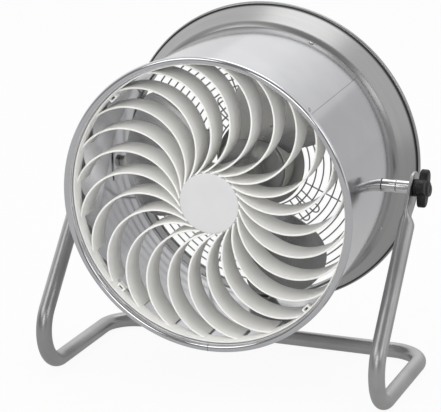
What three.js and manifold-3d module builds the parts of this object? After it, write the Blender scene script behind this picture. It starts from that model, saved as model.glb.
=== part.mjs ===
// Air circulator: a short steel drum with a spiral-vane grille, a three-blade rotor and a wire rear
// guard, hung between the pinched ends of one bent floor tube and clamped by two star knobs.
//
// Millimetres, +Z up. The air leaves towards -Y. The origin is on the floor, in the middle of the
// footprint. Inside the head, "depth" is measured forwards along the fan axis from the tilt axis.
import * as THREE from "three";
import { mergeVertices } from "three/addons/utils/BufferGeometryUtils.js";
import Module from "manifold-3d";

const wasm = await Module();
wasm.setup();

// ---------------------------------------------------------------- driving dimensions
const GAP = 0.3; // between pieces that touch
const HOLE_CLEARANCE = 0.3; // round a bolt or screw, on the radius

const DRUM_RADIUS = 217.5; // outside of the drum wall
const SHEET = 1.5; // drum and bell sheet
const DRUM_FRONT = 179.7; // depth of the middle of the rolled front bead
const DRUM_REAR = -57.5; // depth of the drum's rear edge
const FRONT_BEAD_RADIUS = 5.6;

const BELL_STEP_LENGTH = 6.7; // the steep step behind the drum
const BELL_STEP_HEIGHT = 7.7;
const BELL_FLARE_LENGTH = 39.2; // from the step to the crease before the rear bead
const BELL_FLARE_HEIGHT = 17.5;
const BELL_BEAD_RADIUS = 4;
const BELL_NECK_LENGTH = 17; // sleeve inside the drum

const GRILLE_RIM_WALL = 2.6;
const GRILLE_INSET = 5.9; // the rim's front edge behind the middle of the drum's bead
const GRILLE_RIM_LENGTH = 23;
const VANE_COUNT = 24;
const VANE_INSET = 10.5; // the vanes' front edges behind the rim's
const VANE_DEPTH = 46;
const VANE_THICKNESS = 2.8;
const VANE_PHASE = 11.5; // degrees, of the first vane where it runs straight outwards
const VANE_OVERREACH = 6.3; // how far past its root in the rim a vane's arc would still swing out
const VANE_HUB_BITE = 1.6; // and how far inside the hub it would pass
const HUB_RADIUS = 46.9;
const HUB_WALL = 3;
const HUB_CAP_THICKNESS = 5;
const GRILLE_SCREW_INSET = 17.8; // behind the rim's front edge
const GRILLE_SCREW_ANGLE = 45;

const GUARD_BEHIND_DRUM = 14.5;
const GUARD_INNER_MARGIN = 13.2; // from the motor's flange to the inner ring
const GUARD_PITCH = 11.7;
const GUARD_FRAME_MARGIN = 2; // outside the drum wall
const GUARD_PHASE = 21; // degrees, of the first spoke
const GUARD_SPOKES = 8;
const WIRE_RADIUS = 1.15;
const FRAME_WIRE_RADIUS = 2.3;
const WELD = 0.4; // how far crossing wires sink into each other
const HAIRPIN_WIDTH = 12.4;
const HAIRPIN_LENGTH = 41.8; // outwards from the inner ring
const HAIRPIN_SPREAD = 5.6; // degrees, of a hairpin from the middle of its pair
const BAND_SCREW_AHEAD = 5.5; // of the drum's rear edge
const TAB_WIDTH = 14;

const ROTOR_AHEAD = 29; // from the motor housing's front edge to a blade's middle
const BLADES = 3;
const TIP_CLEARANCE = 9; // from the blades to the drum wall
const BLADE_ROOT_MARGIN = 8; // from the motor housing's wall out to a blade's root
const BLADE_LEAD = 378; // axial advance of the blade's screw surface in one turn
const BLADE_LEADING_ANGLE = -32; // degrees from the blade's middle
const BLADE_TRAILING_ANGLE = 34;
const BLADE_SHEET = 2;
const BLADE_PHASE = 57; // degrees, of the first blade's middle
const SPIDER_ARM_HALF_WIDTH = 9;
const SPIDER_ARM_THICKNESS = 3;
const SPIDER_HUB_RADIUS = 21;
const SHAFT_RADIUS = 6;

const MOTOR_RADIUS = 56;
const MOTOR_LENGTH = 40; // of the housing, ahead of its flange
const MOTOR_FLANGE_WIDTH = 8;
const MOTOR_FLANGE_BEHIND_DRUM = 6.5;
const MOTOR_FLANGE_THICKNESS = 5.5;
const MOTOR_COVER_LENGTH = 12.2;
const BRACKET_PLATE = 3;
const BRACKET_ARM_WIDTH = 34;
const BRACKET_FOOT_LENGTH = 26;
const SWITCH_BOX_RADIUS = 30;
const SWITCH_BOX_DEPTH = 15.5;
const SELECTOR_RADIUS = 15;
const SELECTOR_HEIGHT = 11;
const GLAND_RADIUS = 6.4;

const PIVOT_BOLT_RADIUS = 5;
const DOUBLER_WIDTH = 50;
const DOUBLER_LENGTH = 56;
const DOUBLER_THICKNESS = 2;
const BOSS_RADIUS = 10.3;
const BOSS_LENGTH = 22.1; // the nut on the drum
const SPACER_LENGTH = 21.8;
const EAR_THICKNESS = 5;
const EAR_HALF_WIDTH = 18.5;
const EAR_TOP = 7; // from the pivot to the centre of the ear's round end
const EAR_FLAT_MARGIN = 7; // how far the ear's flat runs on below the knob
const EAR_TAPER = 28; // length over which the round tube is pinched
const EAR_INSET = 2.5; // the flat sits this much inside the tube's centreline
const WASHER_RADIUS = 13.5;
const WASHER_THICKNESS = 7.2;
const KNOB_RADIUS = 29;
const KNOB_VALLEY_RADIUS = 16.5;
const KNOB_THICKNESS = 13;
const KNOB_LOBES = 4;
const KNOB_PHASE = 65; // degrees, of one lobe

const TUBE_RADIUS = 12.7;
const FLOOR_TO_BELL = 59; // clear height under the rear bell
const FRONT_REACH = 249.4; // pivot to the corner where leg and floor tube would meet
const REAR_REACH = 89.1; // pivot to the rear cross bar
const FRONT_BEND_RADIUS = 58;
const REAR_BEND_RADIUS = 52;

const REST_TILT = 3.03; // degrees nose-down as photographed
const PIVOT_BEHIND_MIDDLE = 36.4; // from the middle of the footprint back to the tilt axis

// ---------------------------------------------------------------- derived places
const DRUM_BORE = DRUM_RADIUS - SHEET;
const BELL_STEP_REAR = DRUM_REAR - BELL_STEP_LENGTH;
const BELL_STEP_RADIUS = DRUM_RADIUS + BELL_STEP_HEIGHT;
const BELL_REAR = BELL_STEP_REAR - BELL_FLARE_LENGTH;
const BELL_REAR_RADIUS = BELL_STEP_RADIUS + BELL_FLARE_HEIGHT;
const BELL_EDGE_RADIUS = BELL_REAR_RADIUS + BELL_BEAD_RADIUS;
const BAND_SCREW_DEPTH = DRUM_REAR + BAND_SCREW_AHEAD;
const GRILLE_FRONT = DRUM_FRONT - GRILLE_INSET;
const VANE_FRONT = GRILLE_FRONT - VANE_INSET;
const GRILLE_SCREW_DEPTH = GRILLE_FRONT - GRILLE_SCREW_INSET;
const MOTOR_FLANGE_FRONT = DRUM_REAR - MOTOR_FLANGE_BEHIND_DRUM;
const MOTOR_FLANGE_BACK = MOTOR_FLANGE_FRONT - MOTOR_FLANGE_THICKNESS;
const MOTOR_FLANGE_RADIUS = MOTOR_RADIUS + MOTOR_FLANGE_WIDTH;
const MOTOR_BOLT_CIRCLE = MOTOR_RADIUS + MOTOR_FLANGE_WIDTH / 2;
const MOTOR_FRONT = MOTOR_FLANGE_FRONT + MOTOR_LENGTH;
const MOTOR_REAR = MOTOR_FLANGE_BACK - GAP - MOTOR_COVER_LENGTH;
const ROTOR_DEPTH = MOTOR_FRONT + ROTOR_AHEAD;
const BLADE_TIP_RADIUS = DRUM_BORE - TIP_CLEARANCE;
const BLADE_ROOT_RADIUS = MOTOR_RADIUS + BLADE_ROOT_MARGIN;
const GUARD_DEPTH = DRUM_REAR - GUARD_BEHIND_DRUM;
const GUARD_FRAME_RADIUS = DRUM_RADIUS + GUARD_FRAME_MARGIN;
const GUARD_INNER_RADIUS = MOTOR_FLANGE_RADIUS + GUARD_INNER_MARGIN;
const GUARD_RINGS = Math.round((GUARD_FRAME_RADIUS - GUARD_INNER_RADIUS) / GUARD_PITCH);
const HAIRPIN_REACH = GUARD_INNER_RADIUS + HAIRPIN_LENGTH;
const PIVOT_HEIGHT = BELL_EDGE_RADIUS + FLOOR_TO_BELL + 0.4;
const BOSS_START = DRUM_RADIUS + GAP;
const SPACER_START = BOSS_START + BOSS_LENGTH + GAP;
const EAR_INNER_FACE = SPACER_START + SPACER_LENGTH + GAP;
const TUBE_X = EAR_INNER_FACE + EAR_THICKNESS / 2 + EAR_INSET;
const WASHER_START = EAR_INNER_FACE + EAR_THICKNESS + GAP;
const KNOB_START = WASHER_START + WASHER_THICKNESS + GAP;
const EAR_FLAT = KNOB_RADIUS + EAR_FLAT_MARGIN; // flat length below the pivot
const GRILLE_RADIUS = DRUM_BORE - GAP;
const NECK_RADIUS = DRUM_BORE - GAP;
const NECK_BORE = NECK_RADIUS - SHEET;
const AROUND = 40; // facets round the drum, the bell and the grille's rim
const HUB_AROUND = 28; // and round the grille's hub
const GUARD_AROUND = 20; // and round the guard's rings
const TUBE_SIDES = 12;
const TUBE_HEIGHT = TUBE_RADIUS * Math.cos(Math.PI / TUBE_SIDES); // its flat rests on the floor

// ---------------------------------------------------------------- small tools
const degrees = THREE.MathUtils.degToRad;
const steps = (count) => Array.from({ length: count }, (_, index) => index);
const copies = (count, phase) => steps(count).map((index) => phase + (360 * index) / count);

// A point in the head: radius and angle round the fan axis, seen from the front, and depth.
function spot(radius, angle, depth) {
  const turn = degrees(angle);
  return new THREE.Vector3(radius * Math.cos(turn), -depth, radius * Math.sin(turn));
}

// Turns a closed mesh inside out where its faces point in.
function outward(geometry) {
  const position = geometry.attributes.position;
  const index = geometry.index.array;
  const corners = [new THREE.Vector3(), new THREE.Vector3(), new THREE.Vector3()];
  let volume = 0;
  for (let face = 0; face < index.length; face += 3) {
    corners.forEach((corner, side) => corner.fromBufferAttribute(position, index[face + side]));
    volume += corners[0].dot(corners[1].clone().cross(corners[2]));
  }
  if (volume < 0) {
    for (let face = 0; face < index.length; face += 3) {
      [index[face], index[face + 1]] = [index[face + 1], index[face]];
    }
  }
  return geometry;
}

function merged(geometry) {
  const bare = geometry.clone();
  bare.deleteAttribute("normal");
  bare.deleteAttribute("uv");
  return outward(mergeVertices(bare, 1e-4));
}

function solid(geometry) {
  const bare = merged(geometry);
  const vertProperties = new Float32Array(bare.attributes.position.array);
  const triVerts = new Uint32Array(bare.index.array);
  return new wasm.Manifold(new wasm.Mesh({ numProp: 3, vertProperties, triVerts }));
}

function shell(body) {
  const mesh = body.getMesh();
  const geometry = new THREE.BufferGeometry();
  geometry.setAttribute("position", new THREE.BufferAttribute(mesh.vertProperties, 3));
  geometry.setIndex(new THREE.BufferAttribute(mesh.triVerts, 1));
  return geometry;
}

function joined(geometries) {
  return shell(geometries.map(solid).reduce((whole, piece) => whole.add(piece)));
}

function cut(geometry, tools) {
  return shell(tools.map(solid).reduce((whole, tool) => whole.subtract(tool), solid(geometry)));
}

// Revolves a closed outline of [radius, depth] pairs round the fan axis.
function revolve(outline, segments = AROUND) {
  const points = outline.map(([radius, depth]) => new THREE.Vector2(radius, -depth));
  const first = points[0];
  const last = points[points.length - 1];
  if (first.x > 0 || last.x > 0) points.push(first.clone());
  return merged(new THREE.LatheGeometry(points, segments));
}

// Points of an arc in an outline, from one angle to another, in degrees.
function arc(radius, depth, size, from, to, count) {
  return steps(count + 1).map((index) => {
    const turn = degrees(from + ((to - from) * index) / count);
    return [radius + size * Math.cos(turn), depth + size * Math.sin(turn)];
  });
}

// A flat outline seen from the front, given depth from back to front.
function plate(shape, back, front, curveSegments = 12) {
  const extrude = { depth: front - back, bevelEnabled: false, curveSegments };
  return new THREE.ExtrudeGeometry(shape, extrude).translate(0, 0, back).rotateX(Math.PI / 2);
}

function rod(from, to, radius, sides = 8) {
  const length = from.distanceTo(to);
  const axis = to.clone().sub(from).normalize();
  const turn = new THREE.Quaternion().setFromUnitVectors(new THREE.Vector3(0, 1, 0), axis);
  const geometry = new THREE.CylinderGeometry(radius, radius, length, sides);
  return geometry.applyQuaternion(turn).translate(...from.clone().lerp(to, 0.5).toArray());
}

// A rod along the radius at one angle and depth of the head.
function radialRod(angle, depth, inner, outer, radius, sides) {
  return rod(spot(inner, angle, depth), spot(outer, angle, depth), radius, sides);
}

// A rod along the fan axis.
function axialRod(radius, back, front, sides = 24) {
  return rod(spot(0, 0, back), spot(0, 0, front), radius, sides);
}

// A block at one angle of the head, between two radii and two depths.
function radialBlock(angle, width, inner, outer, back, front) {
  const block = new THREE.BoxGeometry(outer - inner, front - back, width);
  return block.translate((inner + outer) / 2, -(back + front) / 2, 0).rotateY(-degrees(angle));
}

// A strip of a ring: as wide as given at one angle of the head, and curved like the drum.
function curvedStrip(angle, width, outer, thickness, back, front) {
  const inner = outer - thickness;
  const ring = solid(revolve([[inner, back], [inner, front], [outer, front], [outer, back]]));
  return shell(ring.intersect(solid(radialBlock(angle, width, inner - 5, outer + 5, back - 5, front + 5))));
}

// Triangles across a ring of points: a fan, or for a thin curved ring a strip.
const fanFaces = (count) => steps(count - 2).map((index) => [0, index + 1, index + 2]);
function stripFaces(count) {
  return steps(count / 2 - 1).flatMap((near) => {
    const far = count - 1 - near;
    return [[near, near + 1, far - 1], [near, far - 1, far]];
  });
}

// Joins rings of points, each with the same count, into one closed body. A sheet's rings run along
// its front and back along its rear, whose faces are then split along the same diagonals.
function loft(rings, sheet = false) {
  const count = rings[0].length;
  const positions = rings.flat().flatMap((point) => point.toArray());
  const index = [];
  for (let row = 0; row < rings.length - 1; row += 1) {
    for (let column = 0; column < count; column += 1) {
      const here = row * count + column;
      const beside = row * count + ((column + 1) % count);
      const above = beside + count;
      const rear = sheet && column >= count / 2;
      index.push(...(rear ? [here, beside, above, here, above, here + count] : [here, beside, here + count]));
      if (!rear) index.push(beside, above, here + count);
    }
  }
  const last = (rings.length - 1) * count;
  for (const [a, b, c] of sheet ? stripFaces(count) : fanFaces(count)) {
    index.push(a, c, b, last + a, last + b, last + c);
  }
  const geometry = new THREE.BufferGeometry();
  geometry.setAttribute("position", new THREE.Float32BufferAttribute(positions, 3));
  geometry.setIndex(index);
  return outward(geometry);
}

// ---------------------------------------------------------------- finishes
const finish = (color, roughness, metalness) => new THREE.MeshStandardMaterial({ color, roughness, metalness });
const STAINLESS = finish(0xc9cace, 0.25, 1);
const BRUSHED = finish(0xa9aaac, 0.4, 1);
const IVORY = finish(0xdedfd8, 0.5, 0);
const BLACK = finish(0x151516, 0.45, 0);
const WIRE_STEEL = finish(0x8d8e90, 0.35, 1);
const ALUMINIUM = finish(0xb4b5b6, 0.35, 1);
const MOTOR_GREY = finish(0x9b9c96, 0.5, 0.2);
const ZINC = finish(0xb9bbbe, 0.3, 1);

function piece(name, geometry, material) {
  const mesh = new THREE.Mesh(geometry, material);
  mesh.name = name;
  return mesh;
}

// ---------------------------------------------------------------- stand
// The tube's outline: a circle that is pinched to a flat, rounded strip as flat goes from 0 to 1.
function tubeSection(station) {
  return steps(TUBE_SIDES).map((index) => {
    const turn = (2 * Math.PI * (index + 0.5)) / TUBE_SIDES;
    const flatAcross = (EAR_THICKNESS / 2) * THREE.MathUtils.clamp(Math.cos(turn) * 3, -1, 1);
    const across = THREE.MathUtils.lerp(TUBE_RADIUS * Math.cos(turn), flatAcross, station.flat);
    const wide = THREE.MathUtils.lerp(TUBE_RADIUS, station.width ?? EAR_HALF_WIDTH, station.flat);
    const inset = -EAR_INSET * station.flat;
    const along = station.side.clone().multiplyScalar(across + inset);
    const up = station.heading.clone().cross(station.side).multiplyScalar(wide * Math.sin(turn));
    return station.point.clone().add(along).add(up);
  });
}

// Stations down the right-hand half: ear, leg, front bend, floor tube, rear bend, cross bar.
function rightHalf() {
  const side = new THREE.Vector3(1, 0, 0);
  const drop = PIVOT_HEIGHT - TUBE_HEIGHT;
  const lean = Math.atan2(drop, FRONT_REACH);
  const down = new THREE.Vector3(0, -Math.cos(lean), -Math.sin(lean));
  const pivot = new THREE.Vector3(TUBE_X, 0, PIVOT_HEIGHT);
  const onLeg = (distance) => pivot.clone().addScaledVector(down, distance);
  const stations = [85, 60, 35, 12].map((angle) => ({
    point: onLeg(-EAR_TOP - EAR_HALF_WIDTH * Math.sin(degrees(angle))),
    heading: down,
    side,
    flat: 1,
    width: EAR_HALF_WIDTH * Math.cos(degrees(angle)),
  }));
  stations.push({ point: onLeg(EAR_FLAT), heading: down, side, flat: 1 });
  [0.8, 0.5, 0.2, 0].forEach((flat, index) => {
    stations.push({ point: onLeg(EAR_FLAT + (EAR_TAPER * (index + 1)) / 4), heading: down, side, flat });
  });
  return [...stations, ...frontBend(side, lean), ...rearBend()];
}

function frontBend(side, lean) {
  const turnAngle = Math.PI - lean;
  const tangent = FRONT_BEND_RADIUS * Math.tan(turnAngle / 2);
  const centre = new THREE.Vector3(TUBE_X, tangent - FRONT_REACH, TUBE_HEIGHT + FRONT_BEND_RADIUS);
  return steps(8).map((index) => {
    const turn = turnAngle * (1 - index / 7);
    const outwards = new THREE.Vector3(0, -Math.sin(turn), -Math.cos(turn));
    const heading = new THREE.Vector3(0, Math.cos(turn), -Math.sin(turn));
    return { point: centre.clone().addScaledVector(outwards, FRONT_BEND_RADIUS), heading, side, flat: 0 };
  });
}

function rearBend() {
  const centre = new THREE.Vector3(TUBE_X - REAR_BEND_RADIUS, REAR_REACH - REAR_BEND_RADIUS, TUBE_HEIGHT);
  return steps(7).map((index) => {
    const turn = (Math.PI / 2) * (index / 6);
    const outwards = new THREE.Vector3(Math.cos(turn), Math.sin(turn), 0);
    const heading = new THREE.Vector3(-Math.sin(turn), Math.cos(turn), 0);
    return { point: centre.clone().addScaledVector(outwards, REAR_BEND_RADIUS), heading, side: outwards, flat: 0 };
  });
}

function mirrored(station) {
  const flip = new THREE.Vector3(-1, 1, 1);
  return {
    ...station,
    point: station.point.clone().multiply(flip),
    heading: station.heading.clone().multiply(flip).negate(),
    side: station.side.clone().multiply(flip),
  };
}

function standTube() {
  const right = rightHalf();
  const stations = [...right, ...right.map(mirrored).reverse()];
  const reach = TUBE_X + TUBE_RADIUS;
  const bore = rod(
    new THREE.Vector3(-reach, 0, PIVOT_HEIGHT),
    new THREE.Vector3(reach, 0, PIVOT_HEIGHT),
    PIVOT_BOLT_RADIUS + HOLE_CLEARANCE,
    16,
  );
  return cut(loft(stations.map(tubeSection)), [bore]);
}

// ---------------------------------------------------------------- drum and bell
function screwHoles(angles, depth, radius, inner, outer, sides = 8) {
  return angles.map((angle) => radialRod(angle, depth, inner, outer, radius, sides));
}

const grilleScrewAngles = copies(4, GRILLE_SCREW_ANGLE);
const bandScrewAngles = copies(4, GUARD_PHASE + 45);
const SCREW_RADIUS = 2;
const SCREW_HOLE = SCREW_RADIUS + HOLE_CLEARANCE;

function drum() {
  const beadCentre = DRUM_BORE + FRONT_BEAD_RADIUS;
  const bead = arc(beadCentre, DRUM_FRONT, FRONT_BEAD_RADIUS, 180, -130, 7);
  const outline = [
    [DRUM_BORE, DRUM_REAR],
    ...bead,
    [DRUM_RADIUS, DRUM_FRONT - FRONT_BEAD_RADIUS],
    [DRUM_RADIUS, DRUM_REAR],
  ];
  const through = [DRUM_BORE - 5, DRUM_RADIUS + 5];
  return cut(revolve(outline), [
    ...screwHoles(grilleScrewAngles, GRILLE_SCREW_DEPTH, SCREW_HOLE, ...through),
    ...screwHoles(bandScrewAngles, BAND_SCREW_DEPTH, SCREW_HOLE, ...through),
    ...screwHoles([0, 180], 0, PIVOT_BOLT_RADIUS + HOLE_CLEARANCE, ...through, 16),
  ]);
}

function bell() {
  const shoulder = DRUM_REAR - GAP;
  const bead = arc(BELL_REAR_RADIUS, BELL_REAR - BELL_BEAD_RADIUS, BELL_BEAD_RADIUS, 90, -150, 5);
  const outline = [
    [NECK_BORE, shoulder + BELL_NECK_LENGTH],
    [NECK_RADIUS, shoulder + BELL_NECK_LENGTH],
    [NECK_RADIUS, shoulder],
    [DRUM_RADIUS, shoulder],
    [BELL_STEP_RADIUS, BELL_STEP_REAR],
    ...bead,
    [BELL_REAR_RADIUS - SHEET, BELL_REAR - 0.5],
    [BELL_STEP_RADIUS - SHEET, BELL_STEP_REAR - 0.8],
    [NECK_BORE, shoulder - SHEET],
  ];
  const holes = screwHoles(bandScrewAngles, BAND_SCREW_DEPTH, SCREW_HOLE, NECK_BORE - 5, NECK_RADIUS + 5);
  return cut(revolve(outline), holes);
}

// A pan-head screw through a wall of the head, from outside.
function panScrew(angle, depth, wallRadius, length) {
  const seat = wallRadius + GAP;
  return joined([
    radialRod(angle, depth, seat, seat + 2, 4, 10),
    radialRod(angle, depth, seat - length, seat + 0.5, SCREW_RADIUS, 6),
  ]);
}

// ---------------------------------------------------------------- front grille
// In plan a vane is one arc: along the hub inside, straight outwards at the bend place, and along
// the rim outside.
const HUB_RING_RADIUS = HUB_RADIUS + 1.7;
const CLOSEST = HUB_RADIUS - VANE_HUB_BITE; // a vane's arc would pass this near the fan axis
const VANE_ROOT_RADIUS = GRILLE_RADIUS - GRILLE_RIM_WALL / 2;
const VANE_BEND_PLACE = Math.sqrt(CLOSEST * (VANE_ROOT_RADIUS + VANE_OVERREACH));
const VANE_BEND_RADIUS = (VANE_BEND_PLACE ** 2 - CLOSEST ** 2) / (2 * CLOSEST);

// Angle round a vane's own centre at which an arc of that centre meets a circle round the fan axis.
function vaneAngleAt(radius, bend) {
  const away = Math.hypot(VANE_BEND_PLACE, VANE_BEND_RADIUS);
  const centreAngle = Math.atan2(VANE_BEND_RADIUS, VANE_BEND_PLACE);
  const cosine = (radius ** 2 - away ** 2 - bend ** 2) / (2 * away * bend);
  return centreAngle - Math.acos(THREE.MathUtils.clamp(cosine, -1, 1));
}

function vane(angle) {
  const outerBend = VANE_BEND_RADIUS + VANE_THICKNESS / 2;
  const innerBend = VANE_BEND_RADIUS - VANE_THICKNESS / 2;
  const from = vaneAngleAt(HUB_RADIUS + GAP, outerBend);
  const shape = new THREE.Shape();
  shape.absarc(VANE_BEND_PLACE, VANE_BEND_RADIUS, outerBend, from, vaneAngleAt(VANE_ROOT_RADIUS, outerBend), false);
  shape.absarc(VANE_BEND_PLACE, VANE_BEND_RADIUS, innerBend, vaneAngleAt(VANE_ROOT_RADIUS, innerBend), from, true);
  return plate(shape, VANE_FRONT - VANE_DEPTH, VANE_FRONT, 5).rotateY(-degrees(angle));
}

function grilleRim() {
  const bore = GRILLE_RADIUS - GRILLE_RIM_WALL;
  return revolve([
    [GRILLE_RADIUS, GRILLE_FRONT - GRILLE_RIM_LENGTH],
    [GRILLE_RADIUS, GRILLE_FRONT - 1],
    [GRILLE_RADIUS - 1, GRILLE_FRONT],
    [bore + 0.6, GRILLE_FRONT],
    [bore, GRILLE_FRONT - 1],
    [bore, GRILLE_FRONT - GRILLE_RIM_LENGTH],
  ]);
}

function hubRing() {
  const front = VANE_FRONT - HUB_CAP_THICKNESS - GAP;
  const back = VANE_FRONT - VANE_DEPTH;
  return revolve([
    [HUB_RING_RADIUS, back],
    [HUB_RING_RADIUS, front],
    [HUB_RING_RADIUS - HUB_WALL, front],
    [HUB_RING_RADIUS - HUB_WALL, back],
  ], HUB_AROUND);
}

// The nut pocket that a grille screw bites into.
const BOSS_HEIGHT = 7;
function grilleBoss(angle) {
  const root = GRILLE_RADIUS - GRILLE_RIM_WALL / 2;
  const back = GRILLE_FRONT - GRILLE_RIM_LENGTH;
  return radialBlock(angle, 14, root - BOSS_HEIGHT, root, back, GRILLE_SCREW_DEPTH + 5);
}

function bossPocket(angle) {
  const middle = GRILLE_RADIUS - GRILLE_RIM_WALL - BOSS_HEIGHT / 2 + 1.5;
  return radialBlock(angle, 7.4, middle - 1.6, middle + 1.6, GRILLE_SCREW_DEPTH - 2.5, GRILLE_FRONT);
}

function grille() {
  const body = joined([
    grilleRim(),
    hubRing(),
    ...copies(VANE_COUNT, VANE_PHASE).map(vane),
    ...grilleScrewAngles.map(grilleBoss),
  ]);
  const holes = screwHoles(
    grilleScrewAngles, GRILLE_SCREW_DEPTH, SCREW_HOLE, GRILLE_RADIUS - 12, GRILLE_RADIUS + 5);
  return cut(body, [...grilleScrewAngles.map(bossPocket), ...holes]);
}

function hubCap() {
  const spigot = HUB_RING_RADIUS - HUB_WALL - GAP;
  const back = VANE_FRONT - HUB_CAP_THICKNESS;
  return revolve([
    [0, back],
    [spigot - 2, back],
    [spigot - 2, back - 12],
    [spigot, back - 12],
    [spigot, back],
    [HUB_RADIUS, back],
    [HUB_RADIUS, VANE_FRONT - 2],
    [HUB_RADIUS - 2, VANE_FRONT],
    [0, VANE_FRONT + 0.6],
  ], HUB_AROUND);
}

// ---------------------------------------------------------------- rear guard
function guardRing(radius, wireRadius, depth, sides) {
  const section = arc(radius, depth, wireRadius, 0, 360 - 360 / sides, sides - 1);
  return revolve(section, GUARD_AROUND);
}

const SPOKE_DEPTH = GUARD_DEPTH + 2 * WIRE_RADIUS - WELD;
const HAIRPIN_DEPTH = GUARD_DEPTH - 2 * WIRE_RADIUS + WELD;

function guardSpoke(angle) {
  const outer = GUARD_FRAME_RADIUS;
  return radialRod(angle, SPOKE_DEPTH, GUARD_INNER_RADIUS - WIRE_RADIUS, outer, WIRE_RADIUS, 4);
}

// A doubled-back wire whose round end points outwards.
function hairpin(angle) {
  const half = HAIRPIN_WIDTH / 2;
  const reach = HAIRPIN_REACH - half;
  const at = (x, y) => new THREE.Vector3(x, -HAIRPIN_DEPTH, y);
  const round = steps(5).map((index) => {
    const turn = degrees(-90 + 45 * index);
    return at(reach + half * Math.cos(turn), half * Math.sin(turn));
  });
  const inner = GUARD_INNER_RADIUS - WIRE_RADIUS;
  const points = [at(inner, -half), ...round, at(inner, half)];
  const rings = points.map((point, index) => {
    const before = points[Math.max(index - 1, 0)];
    const after = points[Math.min(index + 1, points.length - 1)];
    const heading = after.clone().sub(before).normalize();
    return ringAcross(point, heading, WIRE_RADIUS, 4);
  });
  return loft(rings).rotateY(-degrees(angle));
}

// A round section at a point of a wire that lies flat in the guard.
function ringAcross(point, heading, radius, sides) {
  const depthWise = new THREE.Vector3(0, 1, 0);
  const sideways = heading.clone().cross(depthWise);
  return steps(sides).map((index) => {
    const turn = (2 * Math.PI * index) / sides;
    const offset = sideways.clone().multiplyScalar(radius * Math.cos(turn));
    return point.clone().add(offset).addScaledVector(depthWise, radius * Math.sin(turn));
  });
}

// The strip that runs forward inside the bell's neck to a band screw.
function guardTab(angle) {
  const outer = NECK_BORE - GAP;
  const back = SPOKE_DEPTH - WIRE_RADIUS / 2;
  const strip = curvedStrip(angle, TAB_WIDTH, outer, SHEET, back, BAND_SCREW_DEPTH + 6);
  return cut(strip, [radialRod(angle, BAND_SCREW_DEPTH, outer - 6, outer + 6, SCREW_HOLE, 8)]);
}

function guard() {
  const ringRadii = steps(GUARD_RINGS).map((index) => GUARD_INNER_RADIUS + index * GUARD_PITCH);
  const pairs = copies(2, GUARD_PHASE + 112.5);
  const hairpinAngles = pairs.flatMap((angle) => [angle - HAIRPIN_SPREAD, angle + HAIRPIN_SPREAD]);
  return joined([
    guardRing(GUARD_FRAME_RADIUS, FRAME_WIRE_RADIUS, GUARD_DEPTH, 5),
    ...ringRadii.map((radius) => guardRing(radius, WIRE_RADIUS, GUARD_DEPTH, 4)),
    ...copies(GUARD_SPOKES, GUARD_PHASE).map(guardSpoke),
    ...hairpinAngles.map(hairpin),
    ...bandScrewAngles.map(guardTab),
  ]);
}

// ---------------------------------------------------------------- rotor
// Depth of the blade's screw surface at an angle from its middle.
const screwDepth = (angle) => ROTOR_DEPTH + (BLADE_LEAD * angle) / 360;

// Angles of the blade's two edges at a radius: a straight leading edge with a round corner, and a
// trailing edge that sweeps away towards the tip.
function bladeEdges(radius) {
  const full = BLADE_TRAILING_ANGLE - BLADE_LEADING_ANGLE;
  const sweepStart = 0.53 * BLADE_TIP_RADIUS;
  const sweep = Math.max(0, (radius - sweepStart) / (BLADE_TIP_RADIUS - sweepStart));
  const cornerStart = BLADE_TIP_RADIUS - 22;
  const corner = Math.max(0, (radius - cornerStart) / 22);
  return {
    leading: BLADE_LEADING_ANGLE + 8 * (1 - Math.sqrt(Math.max(0, 1 - corner ** 2))),
    trailing: BLADE_LEADING_ANGLE + 9 + (full - 9) * Math.max(0, 1 - sweep ** 2.6) ** 0.4,
  };
}

// The blade's grid: rows outwards, and columns from the leading to the trailing edge.
const BLADE_COLUMNS = 8;
const BLADE_ROWS = [0, 0.2, 0.4, 0.58, 0.72, 0.83, 0.91, 0.965, 1];
const bladeRadii = BLADE_ROWS.map((part) => THREE.MathUtils.lerp(BLADE_ROOT_RADIUS, BLADE_TIP_RADIUS, part));

// Sections of a sheet that follows the screw surface over some of the blade's columns, set back
// from the blade's front face.
function screwSections(radii, columns, thickness, setBack) {
  return radii.map((radius) => {
    const { leading, trailing } = bladeEdges(radius);
    const pitch = Math.atan2(BLADE_LEAD, 2 * Math.PI * radius);
    const at = (column, offset) => {
      const angle = THREE.MathUtils.lerp(leading, trailing, column / BLADE_COLUMNS);
      const shift = (offset * Math.sin(pitch)) / degrees(radius);
      return spot(radius, angle + shift, screwDepth(angle) - offset * Math.cos(pitch));
    };
    const front = columns.map((column) => at(column, setBack));
    const back = columns.map((column) => at(column, setBack + thickness));
    return [...front, ...back.reverse()];
  });
}

function blade(angle) {
  const sections = screwSections(bladeRadii, steps(BLADE_COLUMNS + 1), BLADE_SHEET, 0);
  return loft(sections, true).rotateY(-degrees(angle));
}

// Flat at the hub, then twisted to lie behind the blade's middle columns.
function spiderArm(angle) {
  const setBack = BLADE_SHEET + GAP;
  const grip = screwSections(bladeRadii.slice(0, 3), [3, 4, 5], SPIDER_ARM_THICKNESS, setBack);
  const neck = (side, offset) => {
    return new THREE.Vector3(SPIDER_HUB_RADIUS - 4, offset - ROTOR_DEPTH, side * SPIDER_ARM_HALF_WIDTH);
  };
  const across = [-1, 0, 1];
  const root = [
    ...across.map((side) => neck(side, setBack)),
    ...across.map((side) => neck(-side, setBack + SPIDER_ARM_THICKNESS)),
  ];
  return loft([root, ...grip], true).rotateY(-degrees(angle));
}

const HUB_BACK = ROTOR_DEPTH - 15;
const HUB_FRONT = ROTOR_DEPTH + 12;

function spider() {
  const body = joined([
    axialRod(SPIDER_HUB_RADIUS, HUB_BACK, HUB_FRONT, 24),
    ...copies(BLADES, BLADE_PHASE).map(spiderArm),
  ]);
  return cut(body, [axialRod(SHAFT_RADIUS + HOLE_CLEARANCE, HUB_BACK - 30, HUB_FRONT + 30, 16)]);
}

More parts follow.
